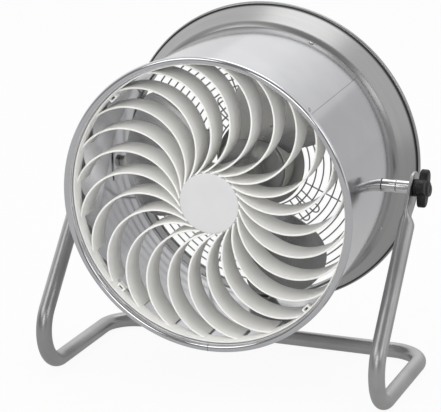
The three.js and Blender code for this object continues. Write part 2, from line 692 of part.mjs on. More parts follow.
function shaft() {
  const tail = MOTOR_FRONT - 14;
  return joined([
    axialRod(SHAFT_RADIUS, tail, HUB_FRONT + 1, 16),
    axialRod(SHAFT_RADIUS - 1.5, HUB_FRONT, HUB_FRONT + 15, 16),
  ]);
}

function shaftNut() {
  const nut = axialRod(9.5, HUB_FRONT + 1 + GAP, HUB_FRONT + 9, 6);
  return cut(nut, [axialRod(SHAFT_RADIUS - 1.5 + HOLE_CLEARANCE, HUB_FRONT - 5, HUB_FRONT + 30, 16)]);
}

// ---------------------------------------------------------------- motor
function motorFrontBell() {
  const front = MOTOR_FRONT + 4;
  const bell = revolve([
    [0, MOTOR_FRONT - 16],
    [20, MOTOR_FRONT - 16],
    [20, MOTOR_FRONT - 4],
    [MOTOR_RADIUS - 3, MOTOR_FRONT - 4],
    [MOTOR_RADIUS - 3, MOTOR_FRONT],
    [MOTOR_RADIUS - 6, front - 1],
    [MOTOR_RADIUS - 12, front],
    [19, front],
    [17, front + 5],
    [0, front + 5],
  ], 24);
  return cut(bell, [axialRod(SHAFT_RADIUS + HOLE_CLEARANCE, MOTOR_FRONT - 15, front + 10, 16)]);
}

function motorHousing() {
  const back = MOTOR_FLANGE_BACK;
  const body = revolve([
    [0, back],
    [MOTOR_FLANGE_RADIUS, back],
    [MOTOR_FLANGE_RADIUS, MOTOR_FLANGE_FRONT],
    [MOTOR_RADIUS, MOTOR_FLANGE_FRONT],
    [MOTOR_RADIUS, MOTOR_FRONT],
    [MOTOR_RADIUS - 3 + GAP, MOTOR_FRONT],
    [MOTOR_RADIUS - 3 + GAP, MOTOR_FRONT - 4 - GAP],
    [20 + GAP, MOTOR_FRONT - 4 - GAP],
    [20 + GAP, MOTOR_FRONT - 16 - GAP],
    [0, MOTOR_FRONT - 16 - GAP],
  ], 24);
  const tool = (angle) => {
    const place = spot(MOTOR_BOLT_CIRCLE, angle, 0);
    return axialRod(SCREW_HOLE, back - 5, MOTOR_FLANGE_FRONT + 5, 8).translate(place.x, 0, place.z);
  };
  return cut(body, copies(4, 45).map(tool));
}

function motorRearCover() {
  const front = MOTOR_FLANGE_BACK - GAP;
  return revolve([
    [0, front],
    [MOTOR_RADIUS - 1, front],
    [MOTOR_RADIUS - 1, MOTOR_REAR + 5],
    [MOTOR_RADIUS - 3, MOTOR_REAR + 1.5],
    [MOTOR_RADIUS - 8, MOTOR_REAR],
    [0, MOTOR_REAR],
  ], 24);
}

function motorBolt(angle) {
  const seat = MOTOR_FLANGE_BACK - GAP;
  const place = spot(MOTOR_BOLT_CIRCLE, angle, 0);
  const bolt = joined([
    axialRod(3.6, seat - 2.8, seat, 6),
    axialRod(SCREW_RADIUS, seat - 0.5, MOTOR_FLANGE_FRONT + BRACKET_PLATE + 4, 8),
  ]);
  return bolt.translate(place.x, 0, place.z);
}

// A stamped ring in front of the motor's flange with an arm and a welded foot above and below.
function motorBracket() {
  const back = MOTOR_FLANGE_FRONT + GAP;
  const front = back + BRACKET_PLATE;
  const ring = revolve([
    [MOTOR_RADIUS + GAP + 0.3, back],
    [MOTOR_FLANGE_RADIUS + 8, back],
    [MOTOR_FLANGE_RADIUS + 8, front],
    [MOTOR_RADIUS + GAP + 0.3, front],
  ], 24);
  const footRadius = NECK_BORE - GAP;
  const arms = [90, 270].flatMap((angle) => [
    radialBlock(angle, BRACKET_ARM_WIDTH, MOTOR_FLANGE_RADIUS + 3, footRadius - 2, back, front),
    curvedStrip(angle, BRACKET_ARM_WIDTH, footRadius, BRACKET_PLATE, back, front + BRACKET_FOOT_LENGTH),
  ]);
  const tool = (angle) => {
    const place = spot(MOTOR_BOLT_CIRCLE, angle, 0);
    return axialRod(SCREW_HOLE, back - 5, front + 5, 8).translate(place.x, 0, place.z);
  };
  return cut(joined([ring, ...arms]), copies(4, 45).map(tool));
}

function switchBox() {
  const front = MOTOR_REAR - GAP;
  const back = front - SWITCH_BOX_DEPTH;
  const body = revolve([
    [0, front],
    [SWITCH_BOX_RADIUS, front],
    [SWITCH_BOX_RADIUS, back + 2],
    [SWITCH_BOX_RADIUS - 2, back],
    [0, back],
  ], 28);
  return cut(body, [axialRod(3 + HOLE_CLEARANCE, back - 5, back + 8, 12)]);
}

function selector() {
  const front = MOTOR_REAR - 2 * GAP - SWITCH_BOX_DEPTH;
  const back = front - SELECTOR_HEIGHT;
  return joined([
    axialRod(SELECTOR_RADIUS, front - 3.5, front, 20),
    axialRod(SELECTOR_RADIUS - 3, back, front - 3, 20),
    radialBlock(90, 5, -SELECTOR_RADIUS + 1, SELECTOR_RADIUS - 1, back, front - 3),
    axialRod(3, front - 1, front + 6, 12),
  ]);
}

function cordGland() {
  const depth = MOTOR_REAR - GAP - SWITCH_BOX_DEPTH / 2;
  const start = SWITCH_BOX_RADIUS + GAP;
  const body = joined([
    radialRod(270, depth, start, start + 5, GLAND_RADIUS, 6),
    radialRod(270, depth, start + 4, start + 12, GLAND_RADIUS - 1.2, 12),
  ]);
  return cut(body, [radialRod(270, depth, start + 1.5, start + 20, 3.4, 10)]);
}

// ---------------------------------------------------------------- pivot hardware
const along = (x) => new THREE.Vector3(x, 0, 0);

function pivotBolt(hand) {
  const head = (DRUM_BORE - GAP - DOUBLER_THICKNESS) * Math.cos(Math.PI / AROUND) - GAP;
  const end = KNOB_START + KNOB_THICKNESS - 4;
  return joined([
    rod(along(hand * (head - 6.4)), along(hand * head), 9.2, 6),
    rod(along(hand * (head - 1)), along(hand * end), PIVOT_BOLT_RADIUS, 12),
  ]);
}

// The curved plate that stiffens the drum wall behind the pivot.
function doubler(hand) {
  const outer = DRUM_BORE - GAP;
  const bore = rod(along(0), along(hand * outer * 1.2), PIVOT_BOLT_RADIUS + HOLE_CLEARANCE, 12);
  const half = DOUBLER_LENGTH / 2;
  return cut(curvedStrip(hand > 0 ? 0 : 180, DOUBLER_WIDTH, outer, DOUBLER_THICKNESS, -half, half), [bore]);
}

function sleeve(hand, start, length, radius, sides = 16) {
  const body = rod(along(hand * start), along(hand * (start + length)), radius, sides);
  const bore = rod(
    along(hand * (start - 5)), along(hand * (start + length + 5)), PIVOT_BOLT_RADIUS + HOLE_CLEARANCE, 12);
  return cut(body, [bore]);
}

// Outline of the star knob: round lobes with round valleys between them.
function knobShape() {
  const lobe = KNOB_RADIUS / 3.6;
  const shape = new THREE.Shape();
  const points = steps(KNOB_LOBES).flatMap((index) => {
    const middle = KNOB_PHASE + (360 * index) / KNOB_LOBES;
    const between = middle + 180 / KNOB_LOBES;
    const tip = [-58, -20, 20, 58].map((offset) => lobePoint(middle, offset, lobe));
    const valley = new THREE.Vector2(Math.cos(degrees(between)), Math.sin(degrees(between)));
    return [...tip, valley.multiplyScalar(KNOB_VALLEY_RADIUS)];
  });
  points.forEach((point, index) => (index ? shape.lineTo(point.x, point.y) : shape.moveTo(point.x, point.y)));
  return shape;
}

function lobePoint(middle, offset, lobe) {
  const out = degrees(middle);
  const turn = degrees(middle + offset);
  const reach = KNOB_RADIUS - lobe;
  return new THREE.Vector2(
    reach * Math.cos(out) + lobe * Math.cos(turn), reach * Math.sin(out) + lobe * Math.sin(turn));
}

function knob(hand) {
  const extrude = { depth: KNOB_THICKNESS - 2, bevelEnabled: true, bevelSize: 1, bevelThickness: 1, bevelSegments: 1 };
  const star = new THREE.ExtrudeGeometry(knobShape(), extrude).translate(0, 0, 1);
  const crown = new THREE.CylinderGeometry(9, 12, 3, 20).rotateX(Math.PI / 2).translate(0, 0, KNOB_THICKNESS + 1);
  const body = solid(star).add(solid(crown));
  const bore = new THREE.CylinderGeometry(
    PIVOT_BOLT_RADIUS + HOLE_CLEARANCE, PIVOT_BOLT_RADIUS + HOLE_CLEARANCE, 2 * (KNOB_THICKNESS - 3), 12);
  const hollow = body.subtract(solid(bore.rotateX(Math.PI / 2)));
  // The outline is drawn looking along the axis towards the drum, so the face points outwards.
  const geometry = shell(hollow).rotateX(Math.PI / 2).rotateZ(Math.PI / 2);
  return hand > 0 ? geometry : geometry.rotateZ(Math.PI);
}

// ---------------------------------------------------------------- assembly
const sides = [["left", -1], ["right", 1]];

function standGroup() {
  const group = new THREE.Group();
  group.add(piece("stand_tube", standTube(), BRUSHED));
  sides.forEach(([name, hand]) => {
    const washer = piece(`clamp_washer_${name}`, sleeve(hand, WASHER_START, WASHER_THICKNESS, WASHER_RADIUS), BLACK);
    washer.position.z = PIVOT_HEIGHT;
    group.add(washer);
  });
  return group;
}

function screws(prefix, angles, depth, length) {
  return angles.map((angle, index) => {
    return piece(`${prefix}_${index + 1}`, panScrew(angle, depth, DRUM_RADIUS, length), ZINC);
  });
}

function headGroup() {
  const group = new THREE.Group();
  group.add(
    piece("drum_shell", drum(), STAINLESS),
    piece("rear_bell", bell(), BRUSHED),
    piece("front_grille", grille(), IVORY),
    piece("hub_cap", hubCap(), IVORY),
    piece("rear_guard", guard(), WIRE_STEEL),
    piece("motor_front_bell", motorFrontBell(), ALUMINIUM),
    piece("motor_housing", motorHousing(), MOTOR_GREY),
    piece("motor_rear_cover", motorRearCover(), MOTOR_GREY),
    piece("motor_bracket", motorBracket(), ZINC),
    piece("switch_box", switchBox(), BLACK),
    piece("cord_gland", cordGland(), BLACK),
    piece("speed_selector", selector(), BLACK),
    piece("rotor_spider", spider(), ZINC),
    piece("motor_shaft", shaft(), ZINC),
    piece("shaft_nut", shaftNut(), ZINC),
  );
  copies(BLADES, BLADE_PHASE).forEach((angle, index) => {
    group.add(piece(`blade_${index + 1}`, blade(angle), ALUMINIUM));
  });
  copies(4, 45).forEach((angle, index) => {
    group.add(piece(`motor_bolt_${index + 1}`, motorBolt(angle), ZINC));
  });
  group.add(...screws("grille_screw", grilleScrewAngles, GRILLE_SCREW_DEPTH, 8));
  group.add(...screws("band_screw", bandScrewAngles, BAND_SCREW_DEPTH, 9));
  sides.forEach(([name, hand]) => {
    const star = piece(`tilt_knob_${name}`, knob(hand), BLACK);
    star.position.x = hand * KNOB_START;
    group.add(
      piece(`pivot_bolt_${name}`, pivotBolt(hand), ZINC),
      piece(`pivot_doubler_${name}`, doubler(hand), STAINLESS),
      piece(`pivot_nut_${name}`, sleeve(hand, BOSS_START, BOSS_LENGTH, BOSS_RADIUS), STAINLESS),
      piece(`pivot_spacer_${name}`, sleeve(hand, SPACER_START, SPACER_LENGTH, BOSS_RADIUS), STAINLESS),
      star,
    );
  });
  group.position.z = PIVOT_HEIGHT;
  group.rotation.x = degrees(REST_TILT);
  return group;
}

const circulator = new THREE.Group();
circulator.add(standGroup(), headGroup());
circulator.position.y = PIVOT_BEHIND_MIDDLE;

export default circulator;
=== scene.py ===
"""Looks of a drum air circulator on a bent-tube floor stand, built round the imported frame."""

import math

import bmesh
import bpy
import numpy as np
from mathutils import Matrix, Vector

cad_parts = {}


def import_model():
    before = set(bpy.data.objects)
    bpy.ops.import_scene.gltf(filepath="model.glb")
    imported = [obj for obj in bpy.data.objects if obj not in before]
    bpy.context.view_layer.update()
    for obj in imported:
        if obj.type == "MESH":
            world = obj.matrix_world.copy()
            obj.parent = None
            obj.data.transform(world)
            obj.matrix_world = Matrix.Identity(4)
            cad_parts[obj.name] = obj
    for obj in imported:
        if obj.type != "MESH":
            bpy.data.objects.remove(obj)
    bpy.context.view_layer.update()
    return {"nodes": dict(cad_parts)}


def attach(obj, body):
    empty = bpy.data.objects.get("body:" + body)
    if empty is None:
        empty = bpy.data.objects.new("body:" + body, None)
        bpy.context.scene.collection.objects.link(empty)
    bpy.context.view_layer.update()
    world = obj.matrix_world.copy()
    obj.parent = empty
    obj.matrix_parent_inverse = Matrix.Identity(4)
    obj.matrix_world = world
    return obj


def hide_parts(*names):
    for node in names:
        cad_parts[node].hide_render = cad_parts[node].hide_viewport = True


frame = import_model()

MM = 0.001

# ---- sizes, in millimetres
REST_TILT = 3.03
PIVOT_Y = 36.4
PIVOT_Z = 306.1
DRUM_RADIUS = 217.5
SHEET = 1.5
DRUM_BORE = DRUM_RADIUS - SHEET
DRUM_FRONT = 179.7
DRUM_REAR = -57.5
BEAD_RADIUS = 5.6
BEAD_LOOK_RADIUS = 5.57
BELL_STEP_REAR = -64.2
BELL_STEP_RADIUS = 225.2
BELL_REAR = -103.4
BELL_REAR_RADIUS = 242.7
BELL_BEAD_RADIUS = 3.93
SEAM_PLACE = 42.8
GRILLE_RADIUS = DRUM_BORE - 0.3
RIM_WALL = 2.6
GRILLE_FRONT = 173.8
GRILLE_RIM_LENGTH = 23.0
VANE_FRONT = 163.3
VANE_DEPTH = 46.0
VANE_THICKNESS = 2.8
VANE_COUNT = 24
VANE_PHASE = 11.5
HUB_RADIUS = 46.9
GUARD_DEPTH = -72.0
GUARD_PHASE = 21.0
WIRE = 1.15
BAND_SCREW_DEPTH = -52.0
GRILLE_SCREW_DEPTH = 156.0
ROTOR_DEPTH = 5.0
BLADE_PHASE = 57.0
BLADE_LEAD = 378.0
BLADE_TIP = 207.0
BLADE_ROOT = 64.0
ARM_FRONT = 2.3
ARM_BACK = 5.3
RIVETS = ((70, 0.43), (70, 0.57), (92, 0.45), (92, 0.55), (114, 0.47))  # radius, part of the blade's width
MOTOR_RADIUS = 56.0
MOTOR_FRONT = -24.0
FLANGE_RADIUS = 64.0
FLANGE_FRONT = -64.0
FLANGE_BACK = -69.5
MOTOR_REAR = -82.0
SWITCH_BACK = -97.8
TUBE_RADIUS = 12.7
TUBE_X = 267.3
TUBE_HEIGHT = TUBE_RADIUS * math.cos(math.pi / 12)  # to the flats of the CAD tube, so both meet the floor
FRONT_REACH = 249.4
REAR_REACH = 89.1
FRONT_BEND = 58.0
REAR_BEND = 52.0
EAR_THICKNESS = 5.0
EAR_HALF_WIDTH = 18.5
EAR_TOP = 7.0
EAR_FLAT = 36.0
EAR_TAPER = 28.0
EAR_INSET = 2.5
SLEEVE_RADIUS = 10.3
NUT_START = 217.8
NUT_LENGTH = 22.1
SPACER_START = 240.2
SPACER_LENGTH = 21.8
WASHER_START = 267.6
WASHER_THICKNESS = 7.2
WASHER_RADIUS = 13.5
KNOB_START = 275.1
KNOB_RADIUS = 29.0
KNOB_VALLEY = 16.5
KNOB_PHASE = 65.0
BEAD_CENTRE = DRUM_BORE + BEAD_RADIUS
NECK_RADIUS = 215.7
NECK_BORE = 214.2
HUB_RING_RADIUS = 48.6
VANE_BEND_PLACE = 99.99
VANE_BEND_RADIUS = 87.70
GUARD_INNER = 77.2
GUARD_PITCH = 11.7
GUARD_FRAME = 219.5

# how the floor and the room are seen
FLOOR_WHITE = 0.93
FLOOR_MIRRORED = 0.5
ROOM_FRONT = 0.22
ROOM_FILL = 0.96
FLOOR_GREY = 0.68
FLOOR_GLOW_MIRRORED = 0.8

# where the photograph was taken from: angles in degrees, lens in millimetres, the rest in metres
VIEW_TURN = 21.33
VIEW_RISE = 15.39
VIEW_ROLL = -0.29
VIEW_LENS = 159.5
VIEW_AIM = (-0.0450, PIVOT_Y * MM, 0.2478)
VIEW_DISTANCE = 3.0539

HEAD = Matrix.Translation((0, PIVOT_Y * MM, PIVOT_Z * MM)) @ Matrix.Rotation(math.radians(REST_TILT), 4, "X")


# ---- mesh tools
def spot(radius, angle, depth):
    """A point of the head in millimetres: radius and angle round the fan axis, and depth."""
    turn = math.radians(angle)
    return Vector((radius * math.cos(turn), -depth, radius * math.sin(turn)))


def linked(name, data):
    """An object for a mesh, curve, lamp or camera, put into the scene."""
    obj = bpy.data.objects.new(name, data)
    bpy.context.scene.collection.objects.link(obj)
    return obj


def placed(name, vertices, faces, place=HEAD, sharp=30, wrap=None):
    """A smooth mesh object at the origin, its millimetre points moved to their place."""
    mesh = bpy.data.meshes.new(name)
    mesh.from_pydata([place @ (Vector(v) * MM) for v in vertices], [], faces)
    if wrap is not None:
        layer = mesh.attributes.new("wrap", "FLOAT_VECTOR", "POINT")
        layer.data.foreach_set("vector", [number for point in wrap for number in point])
    face_outwards(mesh)
    soften(mesh, sharp)
    return linked(name, mesh)


def face_outwards(mesh):
    work = bmesh.new()
    work.from_mesh(mesh)
    bmesh.ops.remove_doubles(work, verts=work.verts, dist=1e-6)
    bmesh.ops.recalc_face_normals(work, faces=work.faces)
    work.to_mesh(mesh)
    work.free()


def soften(mesh, sharp=30):
    mesh.shade_smooth()
    mesh.set_sharp_from_angle(angle=math.radians(sharp))


def revolve(name, outline, segments=192, closed=True, place=HEAD, sharp=30):
    """Turns an outline of (radius, depth) points round the fan axis. An open outline starts and
    ends on the axis."""
    vertices, faces, rows = [], [], []
    for radius, depth in outline:
        if radius < 1e-6:
            rows.append([len(vertices)])
            vertices.append(spot(0, 0, depth))
            continue
        rows.append(list(range(len(vertices), len(vertices) + segments)))
        vertices += [spot(radius, 360 * k / segments, depth) for k in range(segments)]
    for near, far in zip(rows, rows[1:] + rows[:1] if closed else rows[1:]):
        for k in range(segments):
            beside = (k + 1) % segments
            if len(near) == 1:
                faces.append((near[0], far[beside], far[k]))
            elif len(far) == 1:
                faces.append((near[k], near[beside], far[0]))
            else:
                faces.append((near[k], near[beside], far[beside], far[k]))
    return placed(name, vertices, faces, place, sharp)


def arc(radius, depth, size, start, end, count):
    """Points of an arc in an outline, from one angle to another."""
    turns = np.radians(np.linspace(start, end, count + 1))
    return [(radius + size * math.cos(t), depth + size * math.sin(t)) for t in turns]


def loft(name, rings, place=HEAD, sharp=30, wrap=None):
    """Joins rings of points into one closed body."""
    count = len(rings[0])
    vertices = [point for ring in rings for point in ring]
    faces = []
    for row in range(len(rings) - 1):
        for column in range(count):
            beside = (column + 1) % count
            faces.append((row * count + column, row * count + beside,
                          (row + 1) * count + beside, (row + 1) * count + column))
    last = (len(rings) - 1) * count
    faces += [tuple(reversed(range(count))), tuple(range(last, last + count))]
    return placed(name, vertices, faces, place, sharp, wrap)


def rounded_box(wide, high, corner, steps=4):
    """Points of a rectangle with round corners, about its middle."""
    points = []
    for quarter, (u, v) in enumerate(((1, 1), (-1, 1), (-1, -1), (1, -1))):
        for turn in np.radians(90 * quarter + np.linspace(0, 90, steps + 1)):
            points.append((u * (wide / 2 - corner) + corner * math.cos(turn),
                           v * (high / 2 - corner) + corner * math.sin(turn)))
    return points


def block(name, layers, place, x=0.0, z=0.0, upright=False):
    """A body with round corners, from layers of depth, width, height and corner. An upright one has
    its width along z."""
    rings = [[Vector((x + v, -depth, z + u) if upright else (x + u, -depth, z + v))
              for u, v in rounded_box(wide, high, corner)] for depth, wide, high, corner in layers]
    return loft(name, rings, place)


def hexagon(name, layers, place):
    """A six-sided body, from layers of depth and radius over the corners."""
    rings = [[Vector((size * math.cos(t), -depth, size * math.sin(t))) for t in np.radians(range(0, 360, 60))]
             for depth, size in layers]
    return loft(name, rings, place, 20)


def strip(name, angle, width, outer, thickness, back, front, place=HEAD):
    """A plate that is curved to the drum's wall, with round edges."""
    half = math.degrees(width / 2 / outer)
    rings = []
    for inset, turns in ((0.5, [-half]), (0.0, np.linspace(-half + 0.08, half - 0.08, 9)), (0.5, [half])):
        for turn in turns:
            high = thickness - (0.6 if inset and thickness > 1 else 0)
            section = rounded_box(high, front - back - 2 * inset, min(0.3, high / 3), 2)
            rings.append([spot(outer - thickness / 2 + u, angle + turn, (front + back) / 2 + v)
                          for u, v in section])
    return loft(name, rings, place)


def joined(name, objects):
    """One object from several."""
    work = bmesh.new()
    for obj in objects:
        work.from_mesh(obj.data)
        bpy.data.objects.remove(obj)
    mesh = bpy.data.meshes.new(name)
    work.to_mesh(mesh)
    work.free()
    return linked(name, mesh)


def bake(obj, place=None, sharp=30):
    """Applies the modifiers, then moves the points to their place."""
    view = bpy.context.evaluated_depsgraph_get()
    mesh = bpy.data.meshes.new_from_object(obj.evaluated_get(view))
    obj.modifiers.clear()
    obj.data = mesh
    if place is not None:
        mesh.transform(place)
    soften(mesh, sharp)
    return obj


def finished(obj, body, slot, material, *nodes):
    """Gives a piece its finish, its body and the nodes it stands for."""
    obj.data.materials.clear()
    obj.data.materials.append(material)
    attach(obj, body)
    if nodes:
        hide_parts(*nodes)


# ---- node trees
class Signal:
    """A number socket that takes part in Python sums."""

    def __init__(self, owner, socket):
        self.owner = owner
        self.socket = socket

    def _sum(self, operation, *numbers):
        made = self.owner.node("ShaderNodeMath", {"operation": operation}, dict(enumerate(numbers)))
        return Signal(self.owner, made.outputs[0])

    def __add__(self, other):
        return self._sum("ADD", self, other)

    def __radd__(self, other):
        return self._sum("ADD", other, self)

    def __sub__(self, other):
        return self._sum("SUBTRACT", self, other)

    def __rsub__(self, other):
        return self._sum("SUBTRACT", other, self)

    def __mul__(self, other):
        return self._sum("MULTIPLY", self, other)

    def __truediv__(self, other):
        return self._sum("DIVIDE", self, other)

    def root(self):
        return self._sum("SQRT", self)

    def step(self, low, high, to_low=0.0, to_high=1.0):
        """Smoothly from one number to another as the signal goes from low to high."""
        made = self.owner.node("ShaderNodeMapRange", {"interpolation_type": "SMOOTHSTEP"},
                               {0: self, 1: low, 2: high, 3: to_low, 4: to_high})
        return Signal(self.owner, made.outputs[0])


class Tree:
    """A node tree, filled from one method."""

    def __init__(self, tree):
        self.tree = tree

    def node(self, kind, settings=None, inputs=None):
        """Any node: its settings first, then the values or links of its sockets."""
        made = self.tree.nodes.new(kind)
        for key, value in (settings or {}).items():
            setattr(made, key, value)
        for key, value in (inputs or {}).items():
            self.feed(made.inputs[key], value)
        return made

    def out(self, kind, settings=None, **inputs):
        """The first output of a new node, whose sockets are written with underscores."""
        named = {key.replace("_", " "): value for key, value in inputs.items()}
        return self.node(kind, settings, named).outputs[0]

    def feed(self, socket, value):
        if isinstance(value, Signal):
            value = value.socket
        if isinstance(value, bpy.types.NodeSocket):
            self.tree.links.new(value, socket)
        else:
            socket.default_value = value

    def vector(self, x, y, z):
        return self.out("ShaderNodeCombineXYZ", X=x, Y=y, Z=z)

    def split(self, vector):
        parts = self.node("ShaderNodeSeparateXYZ", {}, {0: vector})
        return [Signal(self, socket) for socket in parts.outputs]

    def blend(self, amount, first, second):
        """A colour between two others."""
        made = self.node("ShaderNodeMix", {"data_type": "RGBA"}, {0: amount, 6: first, 7: second})
        return made.outputs[2]


class Rule(Tree):
    """A tree of geometry nodes with named sizes. It ends in Realize Instances and Set Material."""

    def __init__(self, name, **sizes):
        super().__init__(bpy.data.node_groups.new(name, "GeometryNodeTree"))
        face = self.tree.interface
        face.new_socket("Geometry", in_out="INPUT", socket_type="NodeSocketGeometry")
        face.new_socket("Geometry", in_out="OUTPUT", socket_type="NodeSocketGeometry")
        self.sockets = {}
        for key, value in sizes.items():
            kind = "NodeSocketInt" if isinstance(value, int) else "NodeSocketFloat"
            socket = face.new_socket(key, in_out="INPUT", socket_type=kind)
            socket.default_value = value
            self.sockets[key] = socket.identifier
        socket = face.new_socket("Finish", in_out="INPUT", socket_type="NodeSocketMaterial")
        self.sockets["Finish"] = socket.identifier
        self.start = self.tree.nodes.new("NodeGroupInput")
        self.end = self.tree.nodes.new("NodeGroupOutput")

    def size(self, key):
        return self.start.outputs[key]

    def signal(self, key):
        return Signal(self, self.size(key))

    def index(self):
        return Signal(self, self.out("GeometryNodeInputIndex"))

    def moved(self, geometry, **change):
        """Geometry with a Translation, Rotation or Scale."""
        return self.out("GeometryNodeTransform", Geometry=geometry, **change)

    def swept(self, line, section):
        """A section along a curve, with closed ends."""
        return self.out("GeometryNodeCurveToMesh", Curve=line, Profile_Curve=section, Fill_Caps=True)

    def wired(self, line, section):
        """A wire of even thickness along a curve."""
        return self.swept(self.out("GeometryNodeSetCurveRadius", Curve=line, Radius=1.0), section)

    def realized(self, geometry):
        return self.out("GeometryNodeRealizeInstances", Geometry=geometry)

    def round_the_axis(self, geometry, count, first):
        """Copies round the fan axis, the first one turned by an angle in radians."""
        seats = self.out("GeometryNodePoints", Count=count)
        number = Signal(self, count) if isinstance(count, bpy.types.NodeSocket) else count
        turn = (self.index() * (2 * math.pi) / number + Signal(self, first)) * -1.0
        return self.realized(self.out("GeometryNodeInstanceOnPoints", Points=seats, Instance=geometry,
                                      Rotation=self.vector(0.0, turn, 0.0)))

    def close(self, geometry):
        coated = self.out("GeometryNodeSetMaterial", Geometry=self.realized(geometry),
                          Material=self.size("Finish"))
        self.tree.links.new(coated, self.end.inputs[0])

    def make(self, name, prototype, material, place, sharp=30, **sizes):
        """Runs the rule on a prototype, or on nothing, and keeps the result as a plain mesh."""
        obj = linked(name, bpy.data.meshes.new(name)) if prototype is None else prototype
        obj.name = name
        modifier = obj.modifiers.new("rule", "NODES")
        modifier.node_group = self.tree
        for key, value in sizes.items():
            modifier[self.sockets[key]] = value
        modifier[self.sockets["Finish"]] = material
        return bake(obj, place, sharp)


class Shader(Tree):
    """A material with one Principled shader, and the nodes that feed it."""

    def __init__(self, name):
        self.material = bpy.data.materials.new(name)
        self.material.use_nodes = True
        super().__init__(self.material.node_tree)
        self.tree.nodes.clear()
        self.surface = self.node("ShaderNodeBsdfPrincipled")
        self.node("ShaderNodeOutputMaterial", {}, {0: self.surface.outputs[0]})

    def set(self, **values):
        """Sockets of the Principled shader, written with underscores."""
        for key, value in values.items():
            self.feed(self.surface.inputs[key.replace("_", " ")], value)

    def place(self):
        return self.node("ShaderNodeTexCoord").outputs["Object"]

    def head_place(self):
        """Object coordinates turned and moved to the head: x right, -y forwards along the axis."""
        turn = HEAD.inverted()
        return self.out("ShaderNodeMapping", Vector=self.place(), Location=turn.to_translation(),
                        Rotation=turn.to_euler())

    def noise(self, vector, scale, detail=3.0, roughness=0.5):
        return Signal(self, self.out("ShaderNodeTexNoise", Vector=vector, Scale=scale, Detail=detail,
                                     Roughness=roughness))

    def bump(self, height, distance, strength, **under):
        return self.out("ShaderNodeBump", Height=height, Distance=distance, Strength=strength, **under)

    def polar(self):
        """Radius, depth and a place round the fan axis that has no seam, all in metres."""
        x, y, z = self.split(self.head_place())
        radius = (x * x + z * z + 1e-8).root()
        return radius, y * -1.0, x / radius, z / radius


def grey(level, warm=0.0):
    return (level + warm, level, level - warm, 1.0)


def spun_streaks(shader, fineness, swirl):
    """Fine lines that run round the fan axis."""
    radius, depth, across, up = shader.polar()
    place = shader.vector(across * swirl, up * swirl, radius * fineness + depth * fineness)
    return shader.noise(place, 1.0, 4.0, 0.62)


# ---- finishes
def polished_sheet():
    """The drum: bright rolled sheet, nearly a mirror, with slight waves and faint rolling lines."""
    shader = Shader("polished_sheet")
    _, depth, across, up = shader.polar()
    waves = shader.noise(shader.vector(across * 2.2, up * 2.2, depth * 5.0), 1.0, 1.0)
    lines = spun_streaks(shader, 900.0, 0.8)
    smudge = shader.noise(shader.place(), 14.0, 4.0)
    shader.set(
        Base_Color=shader.blend(smudge.step(0.35, 0.75), (0.66, 0.662, 0.685, 1), (0.70, 0.702, 0.72, 1)),
        Metallic=1.0,
        Roughness=0.085 + smudge * 0.04 + lines * 0.03,
        Normal=shader.bump(waves, 0.001, 0.12, Normal=shader.bump(lines, 0.00001, 0.4)),
    )
    return shader.material


def spun_sheet():
    """The bell: satin sheet with fine turned lines, and a near-black line of painted shade in the crease
    before its rear bead.
    """
    shader = Shader("spun_sheet")
    lines = spun_streaks(shader, 1500.0, 1.2)
    broad = spun_streaks(shader, 160.0, 0.7)
    cloud = shader.noise(shader.place(), 9.0, 3.0)
    radius, depth, _, _ = shader.polar()
    # painted shade: a near-black line where the flare folds into the rear bead, standing in for the crease's
    # shadow
    before = radius.step(BELL_REAR_RADIUS * MM - 0.0026, BELL_REAR_RADIUS * MM - 0.0006)
    after = radius.step(BELL_REAR_RADIUS * MM + 0.0008, BELL_REAR_RADIUS * MM + 0.0018, 1.0, 0.0)
    painted_crease_shade = before * after * depth.step(-0.1075, -0.1055)
    steel = shader.blend(broad, grey(0.35), grey(0.46, 0.002))
    shader.set(
        Base_Color=shader.blend(painted_crease_shade * 0.93, steel, grey(0.015)),
        Metallic=1.0,
        Roughness=0.24 + lines * 0.12 + cloud * 0.05,
        Normal=shader.bump(lines, 0.00004, 0.7),
    )
    return shader.material


def satin_tube():
    """The stand: bright-plated tube, drawn lengthwise, scuffed a little where it meets the floor."""
    shader = Shader("satin_tube")
    wrap = shader.node("ShaderNodeAttribute", {"attribute_name": "wrap"}).outputs["Vector"]
    across, up, along = shader.split(wrap)
    drawn = shader.noise(shader.vector(across * 16.0, up * 16.0, along * 4.0), 1.0, 4.0, 0.6)
    cloud = shader.noise(shader.place(), 11.0, 4.0)
    height = shader.split(shader.place())[2]
    worn = height.step(0.0, 0.004, 1.0, 0.0) * shader.noise(shader.place(), 160.0, 4.0).step(0.4, 0.65)
    shader.set(
        Base_Color=shader.blend(cloud.step(0.3, 0.7), grey(0.42), grey(0.50, 0.003)),
        Metallic=1.0,
        Roughness=0.27 + drawn * 0.10 + cloud * 0.05 + worn * 0.2,
        Normal=shader.bump(drawn, 0.00003, 0.6),
    )
    return shader.material


def turned_sleeve():
    """The sleeves on the pivots: turned and polished, nearly a mirror."""
    shader = Shader("turned_sleeve")
    x, _, _ = shader.split(shader.head_place())
    rings = shader.noise(shader.vector(x * 2500.0, 0.0, 0.0), 1.0, 3.0)
    cloud = shader.noise(shader.place(), 60.0, 3.0)
    shader.set(
        Base_Color=shader.blend(cloud.step(0.3, 0.7), grey(0.66), grey(0.72, 0.002)),
        Metallic=1.0,
        Roughness=0.12 + cloud * 0.06,
        Normal=shader.bump(rings, 0.00001, 0.5),
    )
    return shader.material


